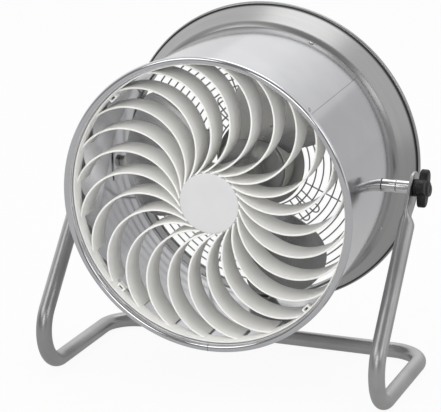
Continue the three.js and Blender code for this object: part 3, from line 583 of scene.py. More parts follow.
def two_tone(name, dark, light, clouds, rough, grain=None, dents=None, edges=(0.3, 0.7), **rest):
    """A finish that drifts between two tones in soft clouds, over a fine grain.

    clouds and grain are a noise's scale and detail. rough is the least roughness, what the clouds add
    to it and what the grain adds. dents are the grain's depth in metres and its strength. edges are
    where the lighter tone starts and where it is reached."""
    shader = Shader(name)
    cloud = shader.noise(shader.place(), *clouds)
    least, by_cloud, by_grain = rough
    roughness = cloud * by_cloud + least
    if grain:
        fine = shader.noise(shader.place(), *grain)
        rest["Normal"] = shader.bump(fine, *dents)
        if by_grain:
            roughness = roughness + fine * by_grain
    tone = cloud.step(*edges) if edges else cloud
    shader.set(Base_Color=shader.blend(tone, dark, light), Roughness=roughness, **rest)
    return shader.material


def plain(name, colour, roughness):
    """One tone with a little dust on it, for the smallest pieces."""
    shader = Shader(name)
    dust = shader.noise(shader.place(), 50.0, 2.0)
    shader.set(Base_Color=colour, Roughness=dust * 0.05 + roughness)
    return shader.material


SHEET_METAL = polished_sheet()
SPUN_METAL = spun_sheet()
TUBE_METAL = satin_tube()
SLEEVE = turned_sleeve()
# the grille: warm white moulding with an eggshell surface
IVORY = two_tone("moulded_ivory", (0.86, 0.856, 0.832, 1), (0.895, 0.89, 0.868, 1), (7.0, 3.0),
                 (0.34, 0.1, 0), (900.0, 2.0), (0.00003, 0.35),
                 Subsurface_Weight=0.25, Subsurface_Radius=(0.006, 0.006, 0.005))
# the hub cap: smooth white moulding
WHITE = two_tone("moulded_white", (0.64, 0.64, 0.648, 1), (0.68, 0.68, 0.685, 1), (12.0, 3.0),
                 (0.30, 0.08, 0), (700.0, 2.0), (0.00002, 0.3))
# the rear guard: bright plated wire
WIRE_METAL = two_tone("plated_wire", grey(0.30), grey(0.42, 0.005), (120.0, 4.0), (0.26, 0.12, 0),
                      Metallic=1.0)
# the blades: dull pressed sheet
BLADE_METAL = two_tone("pressed_sheet", grey(0.54), grey(0.64, 0.004), (9.0, 2.0), (0.19, 0.06, 0.04),
                       (420.0, 3.0), (0.00001, 0.3), edges=None, Metallic=1.0)
# the motor: baked enamel with a faint orange-peel surface
MOTOR_ENAMEL = two_tone("motor_enamel", (0.50, 0.50, 0.455, 1), (0.57, 0.57, 0.525, 1), (20.0, 3.0),
                        (0.36, 0.1, 0), (260.0, 2.0), (0.00008, 0.5), Coat_Weight=0.15)
# the motor's end bell: blasted casting
CASTING = two_tone("cast_metal", grey(0.42), grey(0.50), (30.0, 3.0), (0.42, 0, 0.15), (800.0, 3.0),
                   (0.00008, 0.6), Metallic=0.9)
# screws, bolts, bracket and shaft: bright zinc plate with a faint yellow cast in places
ZINC = two_tone("bright_zinc", grey(0.50), (0.58, 0.57, 0.53, 1), (70.0, 4.0), (0.25, 0.15, 0), (600.0, 2.0),
                (0.00003, 0.4), (0.35, 0.75), Metallic=1.0)
# knobs, washers and switch parts: black moulding with a fine grain
BLACK = two_tone("black_moulding", grey(0.006), grey(0.014), (40.0, 3.0), (0.36, 0.12, 0), (900.0, 3.0),
                 (0.00008, 0.5), (0.35, 0.75), Specular_IOR_Level=0.35)
# the selector's numbers, and what lies in shade at joints and in screw pockets
DIAL_WHITE = plain("dial_white", (0.75, 0.75, 0.74, 1), 0.5)
JOINT_SHADE = plain("joint_shade", grey(0.05), 0.6)


# ---- rules that make what repeats
def copies_rule():
    """Copies of a piece evenly round the fan axis, the first one turned by First."""
    rule = Rule("copies_round_the_axis", Count=4, First=0.0)
    turned = rule.round_the_axis(rule.start.outputs["Geometry"], rule.size("Count"), rule.size("First"))
    rule.close(turned)
    return rule


def vane_rule():
    """The grille's spiral vanes: one arc each, from the hub to the rim."""
    rule = Rule("spiral_vanes", Count=24, First=0.0, Bend_Place=0.1, Bend_Radius=0.088, Start=0.0,
                Sweep=1.0, Thickness=0.003, Depth=0.05, Front=0.16, Corner=0.001)
    line = rule.out("GeometryNodeCurveArc", Resolution=64, Radius=rule.size("Bend_Radius"),
                    Start_Angle=rule.size("Start"), Sweep_Angle=rule.size("Sweep"))
    upright = rule.out("GeometryNodeSetCurveNormal", {"mode": "Z_UP"}, Curve=line)
    section = rule.out("GeometryNodeCurvePrimitiveQuadrilateral", Width=rule.size("Thickness"),
                       Height=rule.size("Depth"))
    rounded = rule.out("GeometryNodeFilletCurve", {"mode": "POLY"}, Curve=section, Count=4,
                       Radius=rule.size("Corner"))
    vane = rule.moved(rule.swept(upright, rounded),
                      Translation=rule.vector(rule.size("Bend_Place"), rule.size("Bend_Radius"), 0.0))
    middle = rule.signal("Front") - rule.signal("Depth") * 0.5
    stood = rule.moved(vane, Translation=rule.vector(0.0, middle * -1.0, 0.0), Rotation=(math.pi / 2, 0, 0))
    rule.close(rule.round_the_axis(stood, rule.size("Count"), rule.size("First")))
    return rule


def guard_rule():
    """The wire guard: rings, a thicker frame ring, spokes, and doubled-back wires from the input's lines."""
    rule = Rule("wire_guard", Rings=12, Inner=0.077, Pitch=0.012, Wire=0.001, Frame_Radius=0.22,
                Frame_Wire=0.002, Spokes=8, First=0.0, Pair_First=0.0, Depth=-0.07, Rise=0.002)
    circle = "GeometryNodeCurvePrimitiveCircle"
    wire = rule.out(circle, Resolution=10, Radius=rule.size("Wire"))
    thick = rule.out(circle, Resolution=18, Radius=rule.size("Frame_Wire"))
    flat = rule.moved(rule.out(circle, Resolution=144, Radius=1.0), Rotation=(math.pi / 2, 0, 0))
    radius = rule.signal("Inner") + rule.signal("Pitch") * rule.index()
    ring_lines = rule.out(
        "GeometryNodeInstanceOnPoints", Points=rule.out("GeometryNodePoints", Count=rule.size("Rings")),
        Instance=flat, Scale=rule.vector(radius, radius, radius))
    rings = rule.wired(rule.realized(ring_lines), wire)
    frame_line = rule.moved(flat, Scale=rule.vector(*[rule.size("Frame_Radius")] * 3))
    frame_ring = rule.wired(frame_line, thick)
    spoke_line = rule.out(
        "GeometryNodeCurvePrimitiveLine", End=rule.vector(rule.size("Frame_Radius"), 0.0, 0.0),
        Start=rule.vector(rule.signal("Inner") - rule.signal("Wire"), 0.0, 0.0))
    spoke = rule.moved(rule.wired(spoke_line, wire),
                       Translation=rule.vector(0.0, rule.signal("Rise") * -1.0, 0.0))
    spokes = rule.round_the_axis(spoke, rule.size("Spokes"), rule.size("First"))
    pin_lines = rule.out("GeometryNodeMeshToCurve", Mesh=rule.start.outputs["Geometry"])
    pins = rule.round_the_axis(rule.wired(pin_lines, wire), 2, rule.size("Pair_First"))
    whole = rule.node("GeometryNodeJoinGeometry")
    for part in (rings, frame_ring, spokes, pins):
        rule.tree.links.new(part, whole.inputs[0])
    rule.close(rule.moved(whole.outputs[0], Translation=rule.vector(0.0, rule.signal("Depth") * -1.0, 0.0)))
    return rule


COPIES = copies_rule()
VANES = vane_rule()
GUARD = guard_rule()


def round_axis(name, prototype, material, count, first, sharp=30):
    """Copies of a prototype that was built at angle 0 of the head, in its final place."""
    return COPIES.make(name, prototype, material, HEAD, sharp, Count=count, First=math.radians(first))


# ---- stand
def tube_ring(point, heading, side, flat, width):
    """One section of the tube, pinched to a flat strip as flat goes from 0 to 1."""
    ring, wrap = [], []
    upward = heading.cross(side)
    for turn in np.linspace(0, 2 * math.pi, 48, endpoint=False):
        pinched = EAR_THICKNESS / 2 * max(-1.0, min(1.0, math.cos(turn) * 3))
        across = (1 - flat) * TUBE_HEIGHT * math.cos(turn) + flat * pinched
        wide = (1 - flat) * TUBE_HEIGHT + flat * width
        ring.append(point + side * (across - EAR_INSET * flat) + upward * (wide * math.sin(turn)))
        wrap.append((math.cos(turn), math.sin(turn)))
    return ring, wrap


def right_half():
    """Sections down the right-hand half: ear, leg, front bend, floor tube, rear bend."""
    side = Vector((1, 0, 0))
    lean = math.atan2(PIVOT_Z - TUBE_HEIGHT, FRONT_REACH)
    down = Vector((0, -math.cos(lean), -math.sin(lean)))
    pivot = Vector((TUBE_X, 0, PIVOT_Z))
    sections = []
    for angle in (89, 84, 78, 70, 60, 50, 40, 30, 20, 10):
        reach = EAR_TOP + EAR_HALF_WIDTH * math.sin(math.radians(angle))
        width = EAR_HALF_WIDTH * math.cos(math.radians(angle))
        sections.append((pivot - down * reach, down, side, 1.0, width))
    for reach in (0, EAR_FLAT):
        sections.append((pivot + down * reach, down, side, 1.0, EAR_HALF_WIDTH))
    for part in np.linspace(0, 1, 13)[1:]:
        flat = 1 - part * part * (3 - 2 * part)
        sections.append((pivot + down * (EAR_FLAT + EAR_TAPER * part), down, side, flat, EAR_HALF_WIDTH))
    turn_angle = math.pi - lean
    centre = Vector((TUBE_X, FRONT_BEND * math.tan(turn_angle / 2) - FRONT_REACH, TUBE_HEIGHT + FRONT_BEND))
    for turn in np.linspace(turn_angle, 0, 37):
        out = Vector((0, -math.sin(turn), -math.cos(turn)))
        heading = Vector((0, math.cos(turn), -math.sin(turn)))
        sections.append((centre + out * FRONT_BEND, heading, side, 0.0, 1.0))
    corner = Vector((TUBE_X - REAR_BEND, REAR_REACH - REAR_BEND, TUBE_HEIGHT))
    for turn in np.linspace(0, math.pi / 2, 25):
        out = Vector((math.cos(turn), math.sin(turn), 0))
        heading = Vector((-math.sin(turn), math.cos(turn), 0))
        sections.append((corner + out * REAR_BEND, heading, out, 0.0, 1.0))
    return sections


def stand_tube():
    right = right_half()
    flip = Vector((-1, 1, 1))
    left = [(point * flip, heading * flip * -1, side * flip, flat, width)
            for point, heading, side, flat, width in reversed(right)]
    rings, wraps, travelled, last = [], [], 0.0, None
    for point, heading, side, flat, width in right + left:
        travelled += (point - last).length * MM if last is not None else 0.0
        last = point
        ring, wrap = tube_ring(point, heading, side, flat, width)
        rings.append(ring)
        wraps += [(across, up, travelled) for across, up in wrap]
    tube = loft("bent_tube_stand", rings, Matrix.Translation((0, PIVOT_Y * MM, 0)), 40, wrap=wraps)
    finished(tube, "stand", "tube_steel", TUBE_METAL, "stand_tube")


# ---- drum and bell
def drum_shell():
    bead = BEAD_CENTRE, DRUM_FRONT
    outline = [(DRUM_BORE, DRUM_REAR), (DRUM_BORE, 0.0), (DRUM_BORE, 120.0)]
    outline += arc(*bead, BEAD_LOOK_RADIUS, 180, -130, 40)
    outline += arc(*bead, BEAD_RADIUS - SHEET, -130, 180, 32)
    outline += [(DRUM_RADIUS, 120.0), (DRUM_RADIUS, 0.0), (DRUM_RADIUS, DRUM_REAR + 0.3)]
    outline += [(DRUM_RADIUS - 0.3, DRUM_REAR)]
    drum = revolve("rolled_drum", outline, 256)
    finished(drum, "head", "drum_steel", SHEET_METAL, "drum_shell")
    lap_seam()
    joint = arc(*bead, BEAD_RADIUS + 0.12, 190, -110, 30) + arc(*bead, BEAD_RADIUS - 1.0, -110, 190, 24)
    rings = [[spot(radius, 270 + turn, depth) for radius, depth in joint] for turn in (-0.09, 0.09)]
    finished(loft("bead_joint", rings), "head", "drum_steel", JOINT_SHADE)


def lap_seam():
    """The rolled sheet's outer end, which laps over the inner one, and the dark line at its edge, a
    near-black strip of painted shade.
    """
    slope = [(-15 * part, 0.7 - 0.8 * part ** 1.5) for part in np.linspace(0, 1, 16)]
    lap = slope + [(turn, -0.4) for turn, _ in reversed(slope)]
    # painted shade: a thin near-black strip where the lap's edge shades the wall
    seam_shade_outline = [(0.01, -0.3), (0.01, 0.5), (0.15, 0.03), (0.15, -0.3)]
    for name, outline, material in (("drum_lap_seam", lap, SHEET_METAL), ("drum_seam_painted_shade", seam_shade_outline, JOINT_SHADE)):
        rings = [[spot(DRUM_RADIUS + rise, SEAM_PLACE + turn, depth) for turn, rise in outline]
                 for depth in (DRUM_REAR + 0.5, DRUM_FRONT - BEAD_RADIUS - 2)]
        finished(loft(name, rings), "head", "drum_steel", material)


def rear_bell():
    shoulder = DRUM_REAR - 0.3
    bead = BELL_REAR_RADIUS, BELL_REAR - BELL_BEAD_RADIUS
    outline = [(NECK_BORE, shoulder + 17), (NECK_RADIUS, shoulder + 17), (NECK_RADIUS, shoulder)]
    outline += [(DRUM_RADIUS - 0.6, shoulder), (DRUM_RADIUS + 0.4, shoulder - 0.5)]
    outline += [(BELL_STEP_RADIUS + out, BELL_STEP_REAR + rise)
                for out, rise in ((-1.6, 1.0), (-0.5, -0.3), (0.5, -1.9))]
    outline += [(BELL_REAR_RADIUS - 0.8, BELL_REAR + 1.8)]
    outline += arc(*bead, BELL_BEAD_RADIUS, 88, -150, 32)
    outline += arc(*bead, BELL_BEAD_RADIUS - 1.3, -150, 88, 26)
    outline += [(BELL_REAR_RADIUS - SHEET, BELL_REAR - 0.5), (BELL_STEP_RADIUS - SHEET, BELL_STEP_REAR - 1.5)]
    outline += [(BELL_STEP_RADIUS - SHEET - 1.5, BELL_STEP_REAR), (NECK_BORE + 0.8, shoulder - 2.2)]
    outline += [(NECK_BORE, shoulder - 1.0)]
    bell = revolve("spun_bell", outline, 256, sharp=35)
    finished(bell, "head", "bell_steel", SPUN_METAL, "rear_bell")


# ---- grille
def vane_angle(radius):
    """Angle round a vane's own centre where its middle line meets a circle round the fan axis."""
    away = math.hypot(VANE_BEND_PLACE, VANE_BEND_RADIUS)
    reach = (radius ** 2 - away ** 2 - VANE_BEND_RADIUS ** 2) / (2 * away * VANE_BEND_RADIUS)
    return math.atan2(VANE_BEND_RADIUS, VANE_BEND_PLACE) - math.acos(reach)


def front_grille():
    start, end = vane_angle(HUB_RING_RADIUS - 1.5), vane_angle(GRILLE_RADIUS - RIM_WALL / 2)
    vanes = VANES.make(
        "grille_vanes", None, IVORY, HEAD, Count=VANE_COUNT, First=math.radians(VANE_PHASE),
        Bend_Place=VANE_BEND_PLACE * MM, Bend_Radius=VANE_BEND_RADIUS * MM, Start=start, Sweep=end - start,
        Thickness=VANE_THICKNESS * MM, Depth=VANE_DEPTH * MM, Front=VANE_FRONT * MM, Corner=0.8 * MM)
    bore, back = GRILLE_RADIUS - RIM_WALL, GRILLE_FRONT - GRILLE_RIM_LENGTH
    outline = [(GRILLE_RADIUS, back)] + arc(GRILLE_RADIUS - 1.0, GRILLE_FRONT - 1.0, 1.0, 0, 90, 6)
    outline += arc(bore + 0.8, GRILLE_FRONT - 0.8, 0.8, 90, 180, 6) + [(bore, back)]
    rim = revolve("grille_rim", outline, 256)
    front, rear, inner = VANE_FRONT - 5.3, VANE_FRONT - VANE_DEPTH, HUB_RING_RADIUS - 3
    outline = [(HUB_RING_RADIUS, rear + 0.6), (HUB_RING_RADIUS, front - 0.6), (HUB_RING_RADIUS - 0.6, front)]
    outline += [(inner, front), (inner, rear), (HUB_RING_RADIUS - 0.6, rear)]
    hub_ring = revolve("grille_hub_ring", outline, 128)
    for piece in (vanes, rim, hub_ring, screw_bosses(back)):
        finished(piece, "head", "grille_plastic", IVORY, "front_grille")


def screw_bosses(back):
    """The blocks inside the rim that the grille's screws bite into, each with a nut in its pocket, coloured
    near-black as painted shade.
    """
    middle = GRILLE_RADIUS - RIM_WALL / 2 - 3.5
    front = GRILLE_SCREW_DEPTH + 5
    layers = [(back, 14, 7, 1.0), (front - 0.6, 14, 7, 1.0), (front, 13, 6, 0.8),
              (front, 7.6, 3.4, 0.4), (front - 7.5, 7.2, 3.0, 0.4)]
    boss = block("screw_boss", layers, Matrix.Identity(4), middle, upright=True)
    layers = [(front - 7.4, 6.2, 2.9, 0.3), (front - 3.2, 6.2, 2.9, 0.3), (front - 2.9, 5.8, 2.9, 0.3)]
    nut = block("boss_nut", layers, Matrix.Identity(4), middle, upright=True)
    # painted shade: the nuts are near-black to stand for the shade deep in the pockets
    finished(round_axis("grille_nuts", nut, JOINT_SHADE, 4, 45), "head", "grille_plastic", JOINT_SHADE)
    return round_axis("grille_screw_bosses", boss, IVORY, 4, 45)


def hub_cap():
    back = VANE_FRONT - 5
    spigot = HUB_RING_RADIUS - 3.3
    outline = [(spigot - 2, back - 12), (spigot, back - 12), (spigot, back), (HUB_RADIUS, back)]
    outline += arc(HUB_RADIUS - 2.0, VANE_FRONT - 2.0, 2.0, 0, 80, 10)
    outline += [(radius, VANE_FRONT + 0.6 * (1 - (radius / HUB_RADIUS) ** 2))
                for radius in (40, 30, 20, 10, 0)]
    outline = [(0, back), (spigot - 2, back)] + outline
    cap = revolve("hub_cap_disc", outline, 160, closed=False)
    finished(cap, "head", "cap_plastic", WHITE, "hub_cap")


# ---- guard
def hairpin_lines():
    """Centre lines of one pair of doubled-back wires, about angle 0, in metres."""
    vertices, edges = [], []
    half = 6.2
    reach = GUARD_INNER + 41.8 - half
    for spread in (-5.6, 5.6):
        turn = Matrix.Rotation(math.radians(-spread), 4, "Y")
        points = [(GUARD_INNER - WIRE, -half)]
        points += [(reach + half * math.cos(t), half * math.sin(t)) for t in np.linspace(-1.5708, 1.5708, 21)]
        points += [(GUARD_INNER - WIRE, half)]
        first = len(vertices)
        vertices += [turn @ (Vector((x, 2 * WIRE - 0.3, z)) * MM) for x, z in points]
        edges += [(first + k, first + k + 1) for k in range(len(points) - 1)]
    mesh = bpy.data.meshes.new("hairpin_lines")
    mesh.from_pydata(vertices, edges, [])
    return linked("hairpin_lines", mesh)


def rear_guard():
    wires = GUARD.make(
        "guard_wires", hairpin_lines(), WIRE_METAL, HEAD, 40, Rings=12, Inner=GUARD_INNER * MM,
        Pitch=GUARD_PITCH * MM, Wire=WIRE * MM, Frame_Radius=GUARD_FRAME * MM, Frame_Wire=2.3 * MM,
        Spokes=8, First=math.radians(GUARD_PHASE), Pair_First=math.radians(GUARD_PHASE + 112.5),
        Depth=GUARD_DEPTH * MM, Rise=(2 * WIRE - 0.3) * MM)
    finished(wires, "head", "wire_steel", WIRE_METAL, "rear_guard")
    tab = strip("guard_tab", 0, 14, NECK_BORE - 0.3, SHEET, GUARD_DEPTH + 1, BAND_SCREW_DEPTH + 6,
                Matrix.Identity(4))
    tabs = round_axis("guard_tabs", tab, WIRE_METAL, 4, GUARD_PHASE + 45)
    finished(tabs, "head", "wire_steel", WIRE_METAL, "rear_guard")


# ---- rotor
def screw_depth(angle):
    return ROTOR_DEPTH + BLADE_LEAD * angle / 360


def blade_edges(radius):
    """Angles of the leading and the trailing edge at a radius."""
    sweep = max(0.0, (radius - 0.53 * BLADE_TIP) / (BLADE_TIP - 0.53 * BLADE_TIP))
    corner = max(0.0, (radius - BLADE_TIP + 22) / 22)
    leading = -32 + 8 * (1 - math.sqrt(max(0.0, 1 - corner ** 2)))
    return leading, -32 + 9 + 57 * max(0.0, 1 - sweep ** 2.6) ** 0.4


def sheet_point(radius, angle, offset):
    """A point on or behind the blade's screw surface."""
    pitch = math.atan2(BLADE_LEAD, 2 * math.pi * radius)
    shift = math.degrees(offset * math.sin(pitch) / radius)
    return spot(radius, angle + shift, screw_depth(angle) - offset * math.cos(pitch))


def across_blade(radius, first, last, columns):
    """Angles over a part of the blade's width."""
    leading, trailing = blade_edges(radius)
    return [leading + (trailing - leading) * part for part in np.linspace(first, last, columns)]


def screw_sheet(name, radii, thickness, columns):
    """A sheet on the screw surface, over the blade's whole width, with its edges eased."""
    rings = []
    for radius in radii:
        angles = across_blade(radius, 0, 1, columns)
        front = [sheet_point(radius, angle, 0.0) for angle in angles]
        back = [sheet_point(radius, angle, thickness) for angle in reversed(angles)]
        for side in (front, back):
            side[0], side[-1] = side[0].lerp(side[1], 0.1), side[-1].lerp(side[-2], 0.1)
        rings.append([sheet_point(radius, angles[0], thickness / 2 - 0.5)] + front
                     + [sheet_point(radius, angles[-1], thickness / 2)] + back)
    return loft(name, rings, Matrix.Identity(4), 40)


def fan_rotor():
    radii = BLADE_ROOT + (BLADE_TIP - BLADE_ROOT) * (1 - np.linspace(1, 0, 34) ** 1.6)
    blade = screw_sheet("one_blade", radii, 2.0, 28)
    blades = round_axis("fan_blades", blade, BLADE_METAL, 3, BLADE_PHASE, 40)
    finished(blades, "rotor", "blade_metal", BLADE_METAL, "blade_1", "blade_2", "blade_3")
    arm_radii = np.linspace(BLADE_ROOT, BLADE_ROOT + 0.4 * (BLADE_TIP - BLADE_ROOT), 14)
    rings = []
    for radius in arm_radii:
        angles = across_blade(radius, 0.375, 0.625, 7)
        rings.append([sheet_point(radius, angle, ARM_FRONT) for angle in angles]
                     + [sheet_point(radius, angle, ARM_BACK) for angle in reversed(angles)])
    neck = [Vector((17, set_back - ROTOR_DEPTH, hand * side))
            for set_back, hand in ((ARM_FRONT, 1), (ARM_BACK, -1)) for side in np.linspace(-9, 9, 7)]
    bridge = [[a.lerp(b, part) for a, b in zip(neck, rings[0])] for part in (0, 0.25, 0.5, 0.75)]
    arm = loft("one_arm", bridge + rings, Matrix.Identity(4))
    arms = round_axis("spider_arms", arm, ZINC, 3, BLADE_PHASE)
    finished(arms, "rotor", "zinc_steel", ZINC, "rotor_spider")
    back, front = ROTOR_DEPTH - 15, ROTOR_DEPTH + 12
    outline = [(6.3, back), (20, back), (21, back + 1), (21, front - 1), (20, front), (6.3, front)]
    finished(revolve("spider_hub", outline, 96), "rotor", "zinc_steel", ZINC, "rotor_spider")
    heads = [revolve("rivet", [(0, 1.3), (1.2, 1.1), (2.2, 0.5), (2.6, -0.4), (0, -0.4)], 20, False,
                     rivet_place(radius, part)) for radius, part in RIVETS]
    rivets = round_axis("blade_rivets", joined("rivet_group", heads), ZINC, 3, BLADE_PHASE)
    finished(rivets, "rotor", "zinc_steel", ZINC)


def rivet_place(radius, part):
    """Puts a rivet's head on the blade's front face, its axis along the face's normal."""
    leading, trailing = blade_edges(radius)
    angle = leading + (trailing - leading) * part
    at = sheet_point(radius, angle, 0.0) * MM
    inwards = (sheet_point(radius, angle, 1.0) * MM - at).normalized()
    return Matrix.Translation(at) @ Vector((0, 1, 0)).rotation_difference(inwards).to_matrix().to_4x4()


# ---- motor and switch
def motor():
    front = MOTOR_FRONT + 4
    outline = [(0, MOTOR_FRONT - 16), (20, MOTOR_FRONT - 16), (20, MOTOR_FRONT - 4)]
    outline += [(53, MOTOR_FRONT - 4), (53, MOTOR_FRONT - 0.5)] + arc(49, front - 4.5, 4.0, 10, 90, 10)
    outline += [(44, front), (22, front)] + arc(21, front + 2, 2.0, 270, 190, 6)
    outline += [(18.6, front + 4)] + arc(17.4, front + 4, 1.0, 20, 90, 4) + [(0, front + 5)]
    bell = revolve("motor_end_bell", outline, 144, False)
    finished(bell, "head", "motor_metal", CASTING, "motor_front_bell")
    back = FLANGE_BACK
    outline = [(0, back), (FLANGE_RADIUS - 0.8, back), (FLANGE_RADIUS, back + 0.8)]
    outline += [(FLANGE_RADIUS, FLANGE_FRONT - 0.8), (FLANGE_RADIUS - 0.8, FLANGE_FRONT)]
    outline += [(MOTOR_RADIUS + 1.0, FLANGE_FRONT), (MOTOR_RADIUS, FLANGE_FRONT + 1.0)]
    outline += [(MOTOR_RADIUS, MOTOR_FRONT - 1), (MOTOR_RADIUS - 1, MOTOR_FRONT)]
    outline += [(53.3, MOTOR_FRONT), (53.3, MOTOR_FRONT - 4.3), (0, MOTOR_FRONT - 4.3)]
    housing = revolve("motor_can", outline, 160, False)
    finished(housing, "head", "motor_paint", MOTOR_ENAMEL, "motor_housing")
    outline = [(0, back - 0.3), (54, back - 0.3), (55, back - 1.3), (55, MOTOR_REAR + 6)]
    outline += arc(49, MOTOR_REAR + 6, 6.0, 0, -90, 14) + [(36, MOTOR_REAR), (35.5, MOTOR_REAR + 0.5)]
    outline += [(34.5, MOTOR_REAR + 0.5), (34, MOTOR_REAR), (0, MOTOR_REAR)]
    cover = revolve("motor_rear_dome", outline, 160, False)
    finished(cover, "head", "motor_paint", MOTOR_ENAMEL, "motor_rear_cover")
    bolts = round_axis("motor_bolts", hex_bolt(), ZINC, 4, 45)
    finished(bolts, "head", "zinc_steel", ZINC, *[f"motor_bolt_{k}" for k in (1, 2, 3, 4)])


def hex_bolt():
    """A flange bolt at angle 0: hexagon head behind the flange, with its washer."""
    seat = FLANGE_BACK - 0.3
    place = Matrix.Translation((60 * MM, 0, 0))
    outline = [(0, seat), (4.2, seat), (4.2, seat - 0.5), (3.6, seat - 0.7), (0, seat - 0.7)]
    washer = revolve("washer", outline, 32, False, place)
    head = hexagon("bolt_head", [(seat - 0.6, 3.6), (seat - 2.5, 3.6), (seat - 2.8, 3.2)], place)
    shank = revolve("shank", [(0, -57), (1.9, -57), (1.9, seat), (0, seat)], 20, False, place)
    return joined("flange_bolt", [washer, head, shank])


def bracket():
    back = FLANGE_FRONT + 0.3
    front = back + 3
    outline = [(56.6, back), (71.4, back), (72, back + 0.6), (72, front - 0.6), (71.4, front), (56.6, front)]
    pieces = [revolve("bracket_ring", outline, 128)]
    for angle in (90, 270):
        turn = HEAD @ Matrix.Rotation(math.radians(-angle), 4, "Y")
        rings = [[Vector((radius, -(back + 1.5 + v), u)) for u, v in rounded_box(34, 3, 0.7)]
                 for radius in (67, 140, 211.5)]
        pieces.append(loft("bracket_arm", rings, turn))
        pieces.append(strip("bracket_foot", angle, 34, NECK_BORE - 0.3, 3.0, back, front + 26))
    whole = joined("motor_strap", pieces)
    soften(whole.data)
    finished(whole, "head", "zinc_steel", ZINC, "motor_bracket")


def switch_parts():
    front, back = MOTOR_REAR - 0.3, SWITCH_BACK
    outline = [(0, front), (30, front), (30, front - 5.2)]
    outline += [(29.6, front - 5.4), (29.6, front - 5.9), (30, front - 6.1)]
    outline += arc(28, back + 2, 2.0, 0, -90, 8) + [(0, back)]
    box = revolve("switch_housing", outline, 128, False)
    finished(box, "head", "black_plastic", BLACK, "switch_box")
    marks = [dial_mark(str(number), 90 + 45 * number) for number in range(4)]
    finished(joined("dial_numbers", marks), "head", "black_plastic", DIAL_WHITE)
    turn = back - 0.6
    outline = [(radius, turn - drop) for radius, drop in (
        (0, 0), (14.6, 0), (15, 0.4), (15, 3), (14.4, 3.5), (12.2, 3.7), (11.8, 4.2), (11.4, 8.5))]
    outline += arc(9.9, turn - 8.9, 1.5, 10, -80, 6) + [(0, turn - 10.6)]
    disc = revolve("selector_disc", outline, 96, False)
    bar = block("selector_bar", [(turn - 3.2, 5.6, 27.6, 2.0), (turn - 10.0, 5.0, 27.6, 2.0),
                                 (turn - 11.0, 4.0, 26.8, 2.0)], HEAD)
    dial = joined("speed_dial", [disc, bar])
    soften(dial.data)
    finished(dial, "selector", "black_plastic", BLACK, "speed_selector")
    layers = [(turn - 10.9, 1.1, 6.0, 0.4), (turn - 11.0, 1.1, 6.0, 0.4)]
    finished(block("dial_pointer", layers, HEAD, z=9.6), "selector", "black_plastic", DIAL_WHITE)
    gland()


def dial_mark(text, angle):
    """A number on the switch housing's back, upright for someone who stands behind the fan."""
    curve = bpy.data.curves.new("dial_text", "FONT")
    curve.body, curve.size, curve.extrude = text, 6.2 * MM, 0.04 * MM
    curve.align_x, curve.align_y = "CENTER", "CENTER"
    obj = linked("dial_text", curve)
    mesh = bpy.data.meshes.new_from_object(obj.evaluated_get(bpy.context.evaluated_depsgraph_get()))
    bpy.data.objects.remove(obj)
    facing = Matrix(((-1, 0, 0, 0), (0, 0, 1, 0), (0, 1, 0, 0), (0, 0, 0, 1)))
    mesh.transform(HEAD @ Matrix.Translation(spot(21.5, angle, SWITCH_BACK - 0.04) * MM) @ facing)
    return linked("dial_number", mesh)


def gland():
    """The bushing under the switch housing, with an open bore."""
    place = HEAD @ Matrix.Rotation(math.radians(-270), 4, "Y") @ Matrix.Translation((0, 90.05 * MM, 0))
    place = place @ Matrix.Rotation(math.radians(90), 4, "Z")
    nut = hexagon("gland_nut", [(30.3, 5.9), (30.8, 6.4), (34.8, 6.4), (35.3, 5.9)], place)
    outline = [(3.4, 32), (5.2, 32), (5.2, 40.8)] + arc(4.2, 41.2, 1.0, 0, 90, 5) + [(3.4, 42.0)]
    sleeve = revolve("gland_sleeve", outline, 48, True, place)
    finished(joined("cord_bushing", [nut, sleeve]), "head", "black_plastic", BLACK, "cord_gland")


# ---- screws
def pan_screw(depth, length):
    """A pan-head screw at angle 0, driven inwards through the drum wall, with a cross recess."""
    seat = DRUM_RADIUS + 0.3
    place = Matrix.Translation((0, -depth * MM, 0)) @ Matrix.Rotation(math.radians(90), 4, "Z")
    outline = [(0, seat - length), (1.9, seat - length), (1.9, seat), (4.0, seat), (4.0, seat + 0.7)]
    outline += [(3.7, seat + 1.3), (3.0, seat + 1.7), (1.8, seat + 1.93), (0, seat + 2.0)]
    screw = revolve("screw_body", outline, 40, False, place)
    for turn in (20, 110):
        rings = [[Vector((u, -(seat + up), v)) for u, v in
                  ((-wide / 2, -0.45), (wide / 2, -0.45), (wide / 2, 0.45), (-wide / 2, 0.45))]
                 for up, wide in ((0.7, 2.2), (3.0, 4.4))]
        tool = loft("recess", rings, place @ Matrix.Rotation(math.radians(turn), 4, "Y"))
        cut = screw.modifiers.new("recess", "BOOLEAN")
        cut.object, cut.operation, cut.solver = tool, "DIFFERENCE", "EXACT"
        bake(screw)
        bpy.data.objects.remove(tool)
    return screw


def screws():
    for kind, depth, length, first in (("grille", GRILLE_SCREW_DEPTH, 8, 45),
                                       ("band", BAND_SCREW_DEPTH, 9, GUARD_PHASE + 45)):
        group = round_axis(f"{kind}_screws", pan_screw(depth, length), ZINC, 4, first)
        finished(group, "head", "zinc_steel", ZINC, *[f"{kind}_screw_{k}" for k in (1, 2, 3, 4)])


# ---- pivots
def collar(name, start, length, radius, place, chamfer=0.8):
    """A bored round piece on a pivot bolt."""
    end = start + length
    return revolve(name, [(5.3, start), (radius - chamfer, start), (radius, start + chamfer),
                          (radius, end - chamfer), (radius - chamfer, end), (5.3, end)], 72, True, place)


def star_radius(angle):
    """Outline of the star knob, angle in degrees."""
    wave = 0.5 + 0.5 * math.cos(math.radians(4 * (angle - KNOB_PHASE)))
    return KNOB_VALLEY + (KNOB_RADIUS - KNOB_VALLEY) * wave ** 0.8


